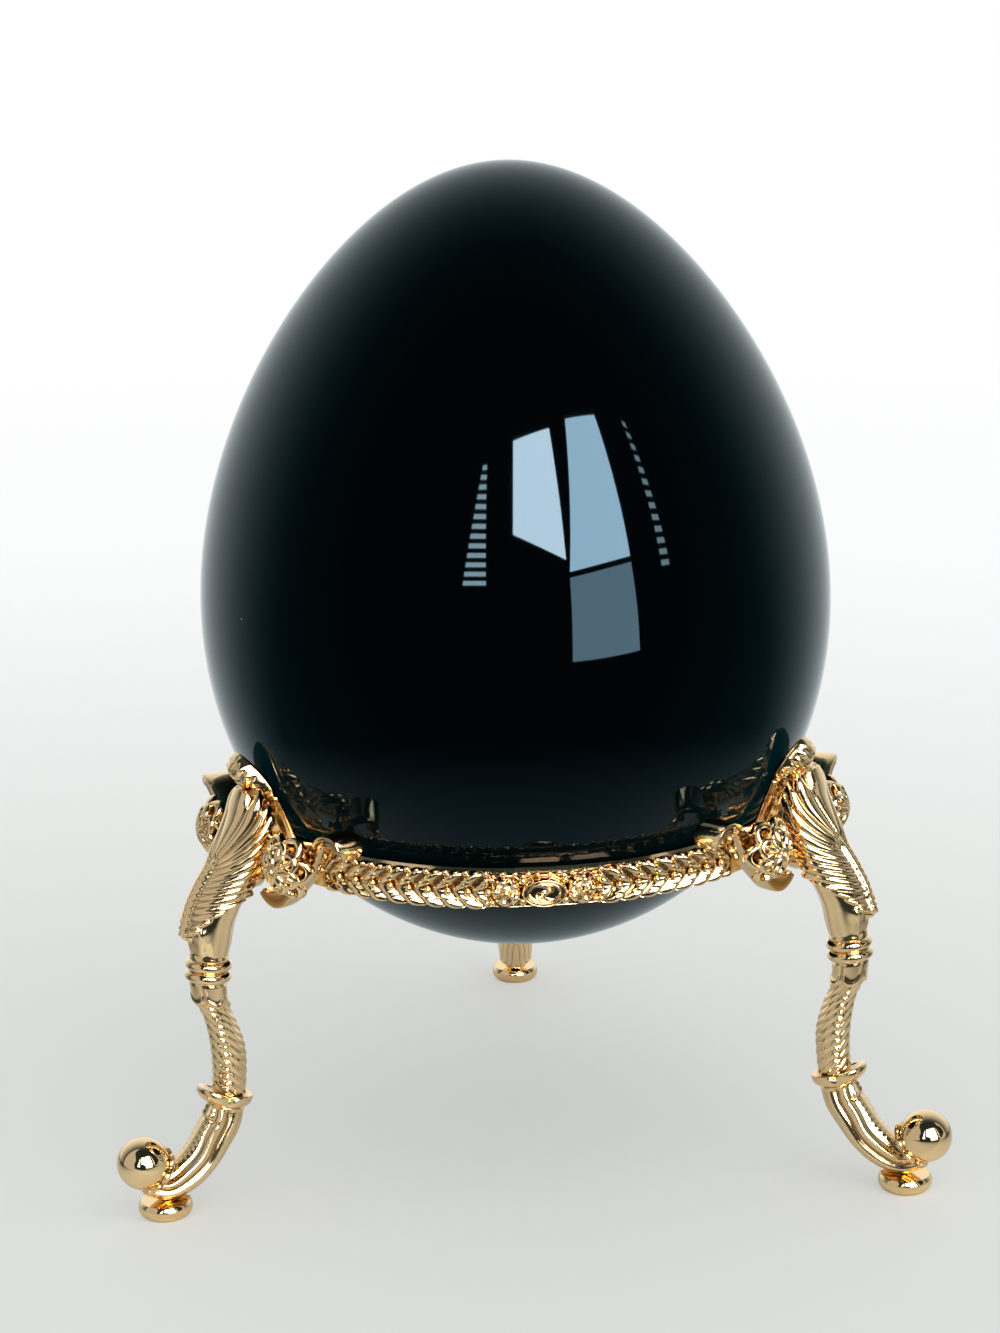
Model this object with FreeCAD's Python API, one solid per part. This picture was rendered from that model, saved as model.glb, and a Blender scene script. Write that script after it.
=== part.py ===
import FreeCAD, Part
import math
import os

# A polished stone egg that rests in a gilt brass stand: a ring with ornaments, on three
# scroll legs. Lengths are millimetres. +Z is up. The origin is on the floor, straight
# below the egg's tip. One leg stands at the back, towards +Y, and two at the front.

V = FreeCAD.Vector
UP = V(0, 0, 1)

# The egg
EGG_HEIGHT = 102.2
EGG_WIDTH = 82.0
EGG_TAPER_SHARE = 0.1275
EGG_FLAT_SHARE = -0.0614
EGG_OUTLINE_STEPS = 16
EGG_SEARCH_STEPS = 720

# The ring that holds it
RING_TOP_Z = 47.2
SEAT_DEPTH = 20.0
SEAT_GAP = 0.35
RING_HEIGHT = 4.9
RING_RIM = 1.0
RING_WALL = 2.2
RING_EDGE = 0.4
LUG_LENGTH = 4.2
LUG_WIDTH = 4.0
LUG_HEIGHT = 4.6

# Solder film between the cast ornaments
FILM = 0.05

# The laurel garlands between the legs
STRIP_THICK = 1.15
STRIP_DROP = 0.5
STRIP_HEIGHT = 4.0
STRIP_START_DEG = 5.5
RELIEF_THICK = 1.75
RELIEF_HEIGHT = 4.5
RELIEF_START_DEG = 21.0
LEAF_PITCH = 2.75
LEAF_GROOVE_WIDTH = 0.4
LEAF_GROOVE_DEPTH = 0.7
LEAF_GROOVE_DEG = 42.0
MEDALLION_LENGTH = 5.4
MEDALLION_RIM = 0.6
MEDALLION_PROUD = 0.3
MEDALLION_OFF_DEG = 2.5

# The scroll beside each leg
SCROLL_OFF = 8.8
SCROLL_DEPTH = 2.6
SCROLL_THICK = 1.3
SCROLL_BOTTOM_SIDE = -5.4
SCROLL_BOTTOM_DROP = 6.75
SCROLL_BOWL_R = 2.7
SCROLL_BOWL_START_DEG = -45.0
SCROLL_RISE_DEG = 46.5
SCROLL_RISE = 10.8
SCROLL_SHOULDER_R = 3.4
SCROLL_CURL_R = 1.2
SCROLL_CURL_DEG = 200.0

# The floret in front of each scroll
FLORET_SIDE = -2.3
FLORET_DROP = 2.0
FLORET_PETALS = 6
FLORET_TURN_SHARE = 0.5
FLORET_PETAL_R = 1.4
FLORET_PETAL_OUT = 2.3
FLORET_DISC_R = 2.7
FLORET_DISC_THICK = 0.6
FLORET_BUD_R = 1.25
FLORET_STEM_R = 0.9

# The crest that stands behind each leg
CREST_GAP = 0.35
CREST_THICK = 1.5
CREST_HEIGHT = 12.9
CREST_BLOCK_HEIGHT = 6.7
CREST_BLOCK_WIDTH = 6.6
CREST_NECK_WIDTH = 5.0
CREST_NECK_HEIGHT = 0.5
CREST_PLUME_WIDTH = 6.4
CREST_BOW_SHARES = (0.72, 0.55)

# The leg's knee, an upright acanthus leaf
KNEE_OUT = 7.3
KNEE_DROP = 14.4
KNEE_RISE = 21.4
KNEE_DEPTH = 6.9
KNEE_WIDTH = 8.2
KNEE_BEND = 8.8
KNEE_LEAN_DEG = 7.0
LEAF_GAP = 0.4
BOSS_DEPTH = 2.5

# The leg's double collar
COLLAR_R = 2.95
COLLAR_CORE_R = 2.4
COLLAR_HEIGHT = 2.9

# The leg's shank
SHANK_TOP_R = 2.3
SHANK_FOOT_R = 2.15
SHANK_TUCK = 1.75

# The lip below the shank
LIP_Z = 13.5
LIP_LEAN_DEG = 16.0
LIP_R = 3.1
LIP_TONGUE = 1.5
LIP_THICK = 1.5
LIP_EDGE = 0.5
LIP_TONGUE_POWER = 3

# The foot's scroll, its ball and its pad
FOOT_OUT = 11.8
FOOT_THICK = 5.2
FOOT_END_Z = 4.7
FOOT_END_LEAN_DEG = 106.0
BALL_R = 3.35
BALL_OUT = 2.75
BALL_Z = 7.55
PAD_OUT = 7.7
PAD_R = 3.45
PAD_TOP_R = 3.1
PAD_SOLE_R = 2.8
PAD_WIDEST_SHARE = 0.6
PAD_HEIGHT = 2.0

# The screw that holds each leg
SCREW_R = 1.0
SCREW_GRIP = 4.0
SCREW_HEAD_R = 1.5
SCREW_HEAD_THICK = 0.9
SCREW_SLOT_WIDTH = 0.5
SCREW_SLOT_DEPTH = 0.4
SCREW_DROP = 2.8
SCREW_HOLE_ROOM = 0.1
SCREW_HEAD_ROOM = 0.15
SCREW_POCKET_DEPTH = 1.3

# Cuts run this far past what they cut
OVERRUN = 1.0

LEG_NAMES = {-150.0: "front_left", -30.0: "front_right", 90.0: "back"}
MIRRORED_SIDES = {"right": False, "left": True}
LEG_STEP_DEG = 120.0
OVAL_POINTS = 16

# Stations of the swept leg parts, as shares of the sizes above. Each row gives the place
# along the part, the place across it, the lean of the section, and its thickness. The
# knee's lean is a share of a right angle. The others go from one end's lean to the other's.
KNEE_SHARES = (
    (0.00, 0.000, 0.000, 0.74, 0.62),
    (0.11, 0.010, 0.022, 0.90, 0.76),
    (0.24, 0.050, 0.100, 0.97, 0.86),
    (0.38, 0.190, 0.190, 0.98, 0.95),
    (0.53, 0.390, 0.220, 0.98, 1.00),
    (0.68, 0.560, 0.140, 0.92, 1.00),
    (0.83, 0.640, -0.020, 0.76, 0.92),
    (0.94, 0.620, -0.078, 0.50, 0.74),
    (1.00, 0.600, -0.078, 0.22, 0.40),
)
SHANK_SHARES = (
    (0.00, 0.00, 0.00, 1.00),
    (0.16, 0.10, 0.43, 0.96),
    (0.36, 0.68, 1.12, 0.99),
    (0.60, 1.08, 0.22, 1.02),
    (0.82, 1.12, -0.55, 1.00),
    (1.00, 1.00, 1.00, 1.00),
)
FOOT_SHARES = (
    (0.00, 0.000, 0.000, 0.90),
    (0.05, 0.190, 0.122, 0.98),
    (0.20, 0.520, 0.252, 1.00),
    (0.36, 0.790, 0.382, 1.00),
    (0.57, 1.000, 0.562, 0.96),
    (0.80, 1.080, 0.782, 0.84),
    (1.00, 1.000, 1.000, 0.56),
)


def turned(shape, degrees):
    """A copy of a shape, turned about the egg's axis."""
    copy = shape.copy()
    copy.rotate(V(0, 0, 0), UP, degrees)
    return copy


def mirrored(shape):
    """A copy of a shape, on the other side of the plane through a leg."""
    return shape.mirror(V(0, 0, 0), V(0, 1, 0))


def ring_of(outline):
    """A closed outline in the XZ plane, revolved once about the egg's axis."""
    return Part.Face(Part.Wire(outline)).revolve(V(0, 0, 0), UP, 360)


def straight(*points):
    """Edges that join the points in order."""
    return [Part.LineSegment(a, b).toShape() for a, b in zip(points, points[1:])]


def bent(start, through, end):
    """An arc through three points."""
    return Part.Arc(start, through, end).toShape()


def egg_shape(turn):
    """The egg's radius at an angle from its tip, before it is scaled to its width."""
    height = math.cos(turn)
    return math.sin(turn) * (1 - EGG_TAPER_SHARE * height + EGG_FLAT_SHARE * height ** 2)


EGG_WIDEST = max(egg_shape(math.pi * n / EGG_SEARCH_STEPS) for n in range(EGG_SEARCH_STEPS))
EGG_BOTTOM_Z = RING_TOP_Z - SEAT_DEPTH


def egg_radius_at(z):
    """The egg's radius at a height over the floor."""
    turn = math.acos((z - EGG_BOTTOM_Z) / (EGG_HEIGHT / 2) - 1)
    return EGG_WIDTH / 2 * egg_shape(turn) / EGG_WIDEST


def egg_lean_at(z):
    """How fast the egg's radius grows with height, as a slope."""
    step = EGG_HEIGHT / EGG_SEARCH_STEPS
    return (egg_radius_at(z + step) - egg_radius_at(z - step)) / (2 * step)


# Places that follow from the sizes above
RING_BOTTOM_Z = RING_TOP_Z - RING_HEIGHT
BORE_TOP_R = egg_radius_at(RING_TOP_Z) + SEAT_GAP
RING_OUT_R = BORE_TOP_R + RING_RIM
BORE_LOW_R = RING_OUT_R - RING_WALL
LUG_FACE_R = RING_OUT_R + LUG_LENGTH
STRIP_BACK_R = RING_OUT_R + FILM
STRIP_FACE_R = STRIP_BACK_R + STRIP_THICK
STRIP_TOP_Z = RING_TOP_Z - STRIP_DROP
SCROLL_BACK = STRIP_FACE_R + FILM
SCROLL_FACE = SCROLL_BACK + SCROLL_DEPTH
SCROLL_OFF_DEG = math.degrees(math.asin(SCROLL_OFF / SCROLL_FACE))
FLORET_Z = RING_TOP_Z - FLORET_DROP
FLORET_BACK = SCROLL_FACE + FILM
COLLAR_AXIS_R = LUG_FACE_R + KNEE_OUT
KNEE_FOOT_Z = RING_TOP_Z - KNEE_DROP
LIP_AXIS_R = COLLAR_AXIS_R - SHANK_TUCK
PAD_AXIS_R = COLLAR_AXIS_R + PAD_OUT
BALL_AXIS_R = PAD_AXIS_R + BALL_OUT
SCREW_Z = RING_TOP_Z - SCREW_DROP
SCREW_SEAT_R = BORE_LOW_R + SCREW_POCKET_DEPTH


def egg():
    """The egg, as one smooth surface of revolution about its long axis."""
    points = []
    for n in range(EGG_OUTLINE_STEPS + 1):
        turn = math.pi * n / EGG_OUTLINE_STEPS
        radius = EGG_WIDTH / 2 * egg_shape(turn) / EGG_WIDEST
        height = EGG_HEIGHT / 2 * (1 + math.cos(turn))
        points.append(V(radius, 0, EGG_BOTTOM_Z + height))
    points[0].x = 0
    points[-1].x = 0
    outline = Part.BSplineCurve()
    outline.interpolate(
        Points=points,
        InitialTangent=V(1, 0, 0),
        FinalTangent=V(-1, 0, 0),
        Scale=False,
    )
    axis = straight(points[-1], points[0])
    return ring_of([outline.toShape()] + axis)


def ring_band():
    """The plain ring: a wall with a sloped seat, and a lug with a screw hole per leg."""
    seat_low_z = RING_TOP_Z - (RING_RIM - RING_WALL) / -egg_lean_at(RING_TOP_Z)
    outline = straight(
        V(BORE_TOP_R, 0, RING_TOP_Z),
        V(RING_OUT_R - RING_EDGE, 0, RING_TOP_Z),
        V(RING_OUT_R, 0, RING_TOP_Z - RING_EDGE),
        V(RING_OUT_R, 0, RING_BOTTOM_Z + RING_EDGE),
        V(RING_OUT_R - RING_EDGE, 0, RING_BOTTOM_Z),
        V(BORE_LOW_R + RING_EDGE, 0, RING_BOTTOM_Z),
        V(BORE_LOW_R, 0, RING_BOTTOM_Z + RING_EDGE),
        V(BORE_LOW_R, 0, seat_low_z),
        V(BORE_TOP_R, 0, RING_TOP_Z),
    )
    band = ring_of(outline)
    inner_r = BORE_TOP_R + RING_EDGE
    lug = Part.makeBox(
        LUG_FACE_R - inner_r,
        LUG_WIDTH,
        LUG_HEIGHT,
        V(inner_r, -LUG_WIDTH / 2, RING_TOP_Z - LUG_HEIGHT),
    )
    hole = Part.makeCylinder(
        SCREW_R + SCREW_HOLE_ROOM,
        LUG_FACE_R - BORE_LOW_R + 2 * OVERRUN,
        V(BORE_LOW_R - OVERRUN, 0, SCREW_Z),
        V(1, 0, 0),
    )
    pocket = Part.makeCylinder(
        SCREW_HEAD_R + SCREW_HEAD_ROOM,
        SCREW_POCKET_DEPTH + OVERRUN,
        V(BORE_LOW_R - OVERRUN, 0, SCREW_Z),
        V(1, 0, 0),
    )
    lugs = [turned(lug, degrees) for degrees in LEG_NAMES]
    cuts = []
    for degrees in LEG_NAMES:
        cuts.append(turned(hole, degrees))
        cuts.append(turned(pocket, degrees))
    return band.multiFuse(lugs).cut(cuts)


def swept_arc(outline, start_deg, end_deg):
    """An outline in the XZ plane, revolved through part of a turn."""
    face = Part.Face(Part.Wire(outline))
    face.rotate(V(0, 0, 0), UP, start_deg)
    return face.revolve(V(0, 0, 0), UP, end_deg - start_deg)


def garland():
    """A laurel garland: a strip on the ring, with a rounded chain of leaves cut in."""
    strip = swept_arc(
        straight(
            V(STRIP_BACK_R, 0, STRIP_TOP_Z - STRIP_HEIGHT),
            V(STRIP_FACE_R, 0, STRIP_TOP_Z - STRIP_HEIGHT),
            V(STRIP_FACE_R, 0, STRIP_TOP_Z),
            V(STRIP_BACK_R, 0, STRIP_TOP_Z),
            V(STRIP_BACK_R, 0, STRIP_TOP_Z - STRIP_HEIGHT),
        ),
        STRIP_START_DEG,
        LEG_STEP_DEG - STRIP_START_DEG,
    )
    middle_z = STRIP_TOP_Z - STRIP_HEIGHT / 2
    low = V(STRIP_BACK_R, 0, middle_z - RELIEF_HEIGHT / 2)
    high = V(STRIP_BACK_R, 0, middle_z + RELIEF_HEIGHT / 2)
    crown = V(STRIP_BACK_R + RELIEF_THICK, 0, middle_z)
    relief = swept_arc(
        [bent(low, crown, high)] + straight(high, low),
        RELIEF_START_DEG,
        LEG_STEP_DEG - RELIEF_START_DEG,
    )
    chain = strip.fuse(relief).cut(leaf_grooves(middle_z))
    boss = turned(medallion(middle_z), LEG_STEP_DEG / 2 + MEDALLION_OFF_DEG)
    return chain.fuse(boss).removeSplitter()


def leaf_grooves(middle_z):
    """The grooves that part the leaves, in pairs that point away from the medallion."""
    crown_r = STRIP_BACK_R + RELIEF_THICK
    pitch_deg = math.degrees(LEAF_PITCH / crown_r)
    first_deg = math.degrees(MEDALLION_LENGTH / 2 / crown_r) + pitch_deg
    middle_deg = LEG_STEP_DEG / 2 + MEDALLION_OFF_DEG
    grooves = []
    for side in (-1, 1):
        reach_deg = LEG_STEP_DEG / 2 - RELIEF_START_DEG - side * MEDALLION_OFF_DEG
        count = int((reach_deg - first_deg) / pitch_deg)
        for half in (-1, 1):
            groove = Part.makeBox(
                RELIEF_THICK + OVERRUN,
                LEAF_GROOVE_WIDTH,
                RELIEF_HEIGHT,
                V(crown_r - LEAF_GROOVE_DEPTH, -LEAF_GROOVE_WIDTH / 2, 0),
            )
            groove.rotate(V(0, 0, 0), V(1, 0, 0), side * LEAF_GROOVE_DEG)
            if half < 0:
                groove = groove.mirror(V(0, 0, 0), UP)
            groove.translate(V(0, 0, middle_z))
            for n in range(count):
                off = side * (first_deg + n * pitch_deg)
                grooves.append(turned(groove, middle_deg + off))
    return grooves


def medallion(middle_z):
    """The oval boss in the middle of a garland, with a sunk field inside its rim."""
    base_r = STRIP_BACK_R + FILM
    crown_r = STRIP_BACK_R + RELIEF_THICK + MEDALLION_PROUD
    half_length = MEDALLION_LENGTH / 2
    half_height = RELIEF_HEIGHT / 2 - MEDALLION_PROUD

    def oval(half_wide, half_high, from_r, to_r):
        edge = Part.Ellipse(V(0, half_wide, 0), V(0, 0, half_high), V(0, 0, 0)).toShape()
        face = Part.Face(Part.Wire(edge))
        face.translate(V(from_r, 0, middle_z))
        return face.extrude(V(to_r - from_r, 0, 0))

    boss = oval(half_length, half_height, base_r, crown_r)
    field = oval(
        half_length - MEDALLION_RIM,
        half_height - MEDALLION_RIM,
        crown_r - MEDALLION_RIM,
        crown_r + OVERRUN,
    )
    bead = Part.makeSphere(MEDALLION_RIM, V(crown_r - MEDALLION_RIM, 0, middle_z))
    return boss.cut(field).fuse(bead)


def walk(start, heading_deg, bends):
    """A smooth path of arcs and lines in a plane, as a list of centres, radii and ends.

    A bend is a radius with a turn in degrees, left positive. A run has no radius and
    gives its length."""
    place = start
    heading = math.radians(heading_deg)
    legs = []
    for radius, amount in bends:
        if radius is None:
            step = (amount * math.cos(heading), amount * math.sin(heading))
            legs.append((place, heading, None, amount))
            place = (place[0] + step[0], place[1] + step[1])
            continue
        turn = math.radians(amount)
        legs.append((place, heading, radius, turn))
        side = 1 if turn > 0 else -1
        centre = (
            place[0] - side * radius * math.sin(heading),
            place[1] + side * radius * math.cos(heading),
        )
        heading += turn
        place = (
            centre[0] + side * radius * math.sin(heading),
            centre[1] - side * radius * math.cos(heading),
        )
    return legs, place, heading


def walk_edges(legs, offset):
    """The edges of a path, moved to its left by an offset."""
    edges = []
    for place, heading, radius, amount in legs:
        def at(angle, centre, reach):
            return V(0, centre[0] + reach * math.sin(angle), centre[1] - reach * math.cos(angle))

        if radius is None:
            left = (-math.sin(heading) * offset, math.cos(heading) * offset)
            a = V(0, place[0] + left[0], place[1] + left[1])
            b = a + V(0, amount * math.cos(heading), amount * math.sin(heading))
            edges.append(Part.LineSegment(a, b).toShape())
            continue
        side = 1 if amount > 0 else -1
        centre = (
            place[0] - side * radius * math.sin(heading),
            place[1] + side * radius * math.cos(heading),
        )
        reach = side * (radius - side * offset)
        edges.append(
            bent(
                at(heading, centre, reach),
                at(heading + amount / 2, centre, reach),
                at(heading + amount, centre, reach),
            )
        )
    return edges


def scroll():
    """The ribbon that sweeps under the floret, up beside the leg, and rolls over."""
    bottom_z = RING_TOP_Z - SCROLL_BOTTOM_DROP
    start_turn = math.radians(SCROLL_BOWL_START_DEG)
    start = (
        SCROLL_BOTTOM_SIDE + SCROLL_BOWL_R * math.sin(start_turn),
        bottom_z + SCROLL_BOWL_R * (1 - math.cos(start_turn)),
    )
    legs, end, end_turn = walk(
        start,
        SCROLL_BOWL_START_DEG,
        (
            (SCROLL_BOWL_R, SCROLL_RISE_DEG - SCROLL_BOWL_START_DEG),
            (None, SCROLL_RISE),
            (SCROLL_SHOULDER_R, -SCROLL_RISE_DEG),
            (SCROLL_CURL_R, -SCROLL_CURL_DEG),
        ),
    )
    half = SCROLL_THICK / 2
    one_side = walk_edges(legs, half)
    other_side = walk_edges(legs, -half)

    def cap(place, turn, ahead):
        left = V(0, -math.sin(turn), math.cos(turn)) * half
        front = V(0, math.cos(turn), math.sin(turn)) * half * ahead
        middle = V(0, place[0], place[1])
        return bent(middle + left, middle + front, middle - left)

    edges = one_side + other_side + [cap(start, start_turn, -1), cap(end, end_turn, 1)]
    face = Part.Face(Part.Wire(Part.__sortEdges__(edges)))
    face.translate(V(SCROLL_BACK, 0, 0))
    ribbon = face.extrude(V(SCROLL_DEPTH, 0, 0))
    return turned(ribbon, SCROLL_OFF_DEG)


def floret():
    """A six-petalled flower on a short stem, in front of the scroll."""
    middle = V(FLORET_BACK, FLORET_SIDE, FLORET_Z)
    disc = Part.makeCylinder(FLORET_DISC_R, FLORET_DISC_THICK, middle, V(1, 0, 0))
    bud = Part.makeSphere(FLORET_BUD_R, middle + V(FLORET_DISC_THICK, 0, 0))
    petals = []
    for n in range(FLORET_PETALS):
        turn = 2 * math.pi * (n + FLORET_TURN_SHARE) / FLORET_PETALS
        across = V(0, math.cos(turn), math.sin(turn)) * FLORET_PETAL_OUT
        petals.append(Part.makeSphere(FLORET_PETAL_R, middle + across))
    flower = disc.multiFuse(petals + [bud])
    reach = FLORET_PETAL_OUT + FLORET_PETAL_R + OVERRUN
    behind = Part.makeBox(
        reach,
        2 * reach,
        2 * reach,
        middle - V(reach, reach, reach),
    )
    near_side = abs(FLORET_SIDE) - FLORET_STEM_R
    stem_back = math.sqrt((STRIP_FACE_R + FILM) ** 2 - near_side ** 2)
    stem = Part.makeCylinder(
        FLORET_STEM_R,
        FLORET_BACK - stem_back + FLORET_DISC_THICK / 2,
        V(stem_back, FLORET_SIDE, FLORET_Z),
        V(1, 0, 0),
    )
    return turned(flower.cut(behind).fuse(stem), SCROLL_OFF_DEG)


def crest_plane():
    """Where the crest's back starts at the ring's top, and its slope up the egg."""
    middle_z = RING_TOP_Z + CREST_HEIGHT / 2
    slope = egg_lean_at(middle_z)
    start_r = egg_radius_at(middle_z) + CREST_GAP * math.hypot(1, slope)
    return start_r - slope * CREST_HEIGHT / 2, slope


def leaning_slab(outline, start_r, slope, thickness):
    """A flat outline, stood on the ring's top, leaned outwards and given a thickness."""
    face = Part.Face(Part.Wire(outline))
    slab = face.extrude(V(thickness, 0, 0))
    slab.rotate(V(0, 0, 0), V(0, 1, 0), math.degrees(math.atan(slope)))
    slab.translate(V(start_r, 0, RING_TOP_Z))
    return slab


def crest():
    """The plume behind a leg: a block on the ring, a narrow neck and a pointed plume."""
    start_r, slope = crest_plane()
    block = CREST_BLOCK_WIDTH / 2
    neck = CREST_NECK_WIDTH / 2
    plume = CREST_PLUME_WIDTH / 2
    block_top = CREST_BLOCK_HEIGHT
    plume_foot = CREST_BLOCK_HEIGHT + CREST_NECK_HEIGHT
    tip = V(0, 0, CREST_HEIGHT)
    bow_wide, bow_high = CREST_BOW_SHARES
    bow = V(0, plume * bow_wide, plume_foot + (CREST_HEIGHT - plume_foot) * bow_high)
    sink = -CREST_THICK * slope
    outline = straight(
        V(0, -block, sink),
        V(0, block, sink),
        V(0, block, block_top),
        V(0, neck, block_top),
        V(0, neck, plume_foot),
        V(0, plume, plume_foot),
    )
    outline.append(bent(V(0, plume, plume_foot), bow, tip))
    outline.append(bent(tip, V(0, -bow.y, bow.z), V(0, -plume, plume_foot)))
    outline += straight(
        V(0, -plume, plume_foot),
        V(0, -neck, plume_foot),
        V(0, -neck, block_top),
        V(0, -block, block_top),
        V(0, -block, sink),
    )
    slab = leaning_slab(outline, start_r, slope, CREST_THICK)
    below = Part.makeBox(
        2 * LUG_FACE_R,
        2 * CREST_BLOCK_WIDTH,
        RING_HEIGHT,
        V(0, -CREST_BLOCK_WIDTH, RING_TOP_Z - RING_HEIGHT),
    )
    return slab.cut(below)


def oval(r, z, lean_deg, half_depth, half_width):
    """A closed oval across a leg part, square to a line that leans in by an angle."""
    lean = math.radians(lean_deg)
    points = []
    for n in range(OVAL_POINTS):
        turn = 2 * math.pi * n / OVAL_POINTS
        depth = half_depth * math.cos(turn)
        width = half_width * math.sin(turn)
        points.append(V(r + depth * math.cos(lean), width, z + depth * math.sin(lean)))
    curve = Part.BSplineCurve()
    curve.interpolate(Points=points, PeriodicFlag=True)
    return Part.Wire(curve.toShape())


def knee():
    """The leg's knee, from the collar up to the free tip of its leaf."""
    base_lean = math.radians(KNEE_LEAN_DEG)
    sections = []
    for up, inward, lean, depth, width in KNEE_SHARES:
        sections.append(
            oval(
                COLLAR_AXIS_R - inward * KNEE_BEND - math.sin(base_lean) * COLLAR_HEIGHT / 2,
                KNEE_FOOT_Z + up * KNEE_RISE,
                KNEE_LEAN_DEG + 90 * lean,
                depth * KNEE_DEPTH / 2,
                width * KNEE_WIDTH / 2,
            )
        )
    body = Part.makeLoft(sections, True, False)
    tall = 2 * KNEE_RISE
    behind_lug = Part.makeBox(
        LUG_FACE_R,
        2 * KNEE_WIDTH,
        tall,
        V(0, -KNEE_WIDTH, RING_TOP_Z - tall / 2),
    )
    start_r, slope = crest_plane()
    front_r = start_r + CREST_THICK * math.hypot(1, slope) + LEAF_GAP
    behind_crest = leaning_slab(
        straight(
            V(0, -KNEE_WIDTH, -tall),
            V(0, KNEE_WIDTH, -tall),
            V(0, KNEE_WIDTH, tall),
            V(0, -KNEE_WIDTH, tall),
            V(0, -KNEE_WIDTH, -tall),
        ),
        front_r,
        slope,
        -KNEE_DEPTH,
    )
    above_ring = Part.makeBox(
        2 * LUG_FACE_R,
        2 * KNEE_WIDTH,
        tall,
        V(0, -KNEE_WIDTH, RING_TOP_Z),
    )
    thread = Part.makeCylinder(
        SCREW_R + FILM,
        SCREW_GRIP + OVERRUN + FILM,
        V(LUG_FACE_R - OVERRUN, 0, SCREW_Z),
        V(1, 0, 0),
    )
    boss = Part.makeBox(
        BOSS_DEPTH,
        LUG_WIDTH,
        LUG_HEIGHT,
        V(LUG_FACE_R, -LUG_WIDTH / 2, RING_TOP_Z - LUG_HEIGHT),
    )
    return body.cut([behind_lug, behind_crest.common(above_ring)]).fuse(boss).cut(thread)


def collar_place():
    """The frame of the collar: its middle, and the way its axis points, leaning in."""
    lean = math.radians(KNEE_LEAN_DEG)
    along = V(-math.sin(lean), 0, math.cos(lean))
    top = V(COLLAR_AXIS_R, 0, KNEE_FOOT_Z) - V(math.sin(lean) * COLLAR_HEIGHT / 2, 0, 0)
    return top - along * (COLLAR_HEIGHT / 2), along


def collar():
    """Two round rings side by side, where the knee ends and the shank begins."""
    middle, along = collar_place()
    half = COLLAR_HEIGHT / 2
    quarter = COLLAR_HEIGHT / 4
    outline = straight(V(0, 0, half), V(0, 0, -half), V(COLLAR_CORE_R, 0, -half))
    outline.append(
        bent(V(COLLAR_CORE_R, 0, -half), V(COLLAR_R, 0, -quarter), V(COLLAR_CORE_R, 0, 0))
    )
    outline.append(
        bent(V(COLLAR_CORE_R, 0, 0), V(COLLAR_R, 0, quarter), V(COLLAR_CORE_R, 0, half))
    )
    outline += straight(V(COLLAR_CORE_R, 0, half), V(0, 0, half))
    rings = ring_of(outline)
    rings.Placement = FreeCAD.Placement(middle, FreeCAD.Rotation(UP, along))
    return rings


def lip_frame():
    """The middle of the lip's top face, and its axis."""
    lean = math.radians(LIP_LEAN_DEG)
    along = V(-math.sin(lean), 0, math.cos(lean))
    return V(LIP_AXIS_R, 0, LIP_Z) + along * (LIP_THICK / 2), along


def lip():
    """A rounded lip round the leg, with a tongue that points outwards."""
    points = []
    for n in range(OVAL_POINTS):
        turn = 2 * math.pi * n / OVAL_POINTS
        tongue = LIP_TONGUE * max(math.cos(turn), 0) ** LIP_TONGUE_POWER
        reach = LIP_R + tongue
        points.append(V(reach * math.cos(turn), reach * math.sin(turn), -LIP_THICK))
    curve = Part.BSplineCurve()
    curve.interpolate(Points=points, PeriodicFlag=True)
    plate = Part.Face(Part.Wire(curve.toShape())).extrude(V(0, 0, LIP_THICK))
    rims = [edge for edge in plate.Edges if edge.isClosed()]
    plate = plate.makeFillet(LIP_EDGE, rims)
    top, along = lip_frame()
    plate.Placement = FreeCAD.Placement(top, FreeCAD.Rotation(UP, along))
    return plate


def shank():
    """The slim part of the leg, between the collar and the lip."""
    middle, along = collar_place()
    top = middle - along * (COLLAR_HEIGHT / 2)
    foot = lip_frame()[0]
    drop = top.z - foot.z
    tuck = top.x - foot.x
    sections = []
    for down, inward, lean, thick in SHANK_SHARES:
        half = (SHANK_TOP_R + (SHANK_FOOT_R - SHANK_TOP_R) * down) * thick
        lean_deg = KNEE_LEAN_DEG + (LIP_LEAN_DEG - KNEE_LEAN_DEG) * lean
        sections.append(
            oval(top.x - inward * tuck, top.z - down * drop, lean_deg, half, half)
        )
    return Part.makeLoft(sections, True, False)


def foot():
    """The scroll below the lip: it sweeps outwards and cups the ball on its end."""
    top, along = lip_frame()
    start = top - along * LIP_THICK
    drop = start.z - FOOT_END_Z
    sections = []
    for out, down, lean, thick in FOOT_SHARES:
        sections.append(
            oval(
                start.x + out * FOOT_OUT,
                start.z - down * drop,
                LIP_LEAN_DEG + (FOOT_END_LEAN_DEG - LIP_LEAN_DEG) * lean,
                thick * FOOT_THICK / 2,
                thick * FOOT_THICK / 2,
            )
        )
    body = Part.makeLoft(sections, True, False)
    ball_room = Part.makeSphere(BALL_R + FILM, V(BALL_AXIS_R, 0, BALL_Z))
    floor = Part.makeBox(
        2 * BALL_AXIS_R,
        4 * FOOT_THICK,
        2 * PAD_HEIGHT,
        V(0, -2 * FOOT_THICK, -PAD_HEIGHT),
    )
    return body.cut([ball_room, floor])


def ball():
    """The polished ball on the foot's end."""
    return Part.makeSphere(BALL_R, V(BALL_AXIS_R, 0, BALL_Z))


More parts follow.
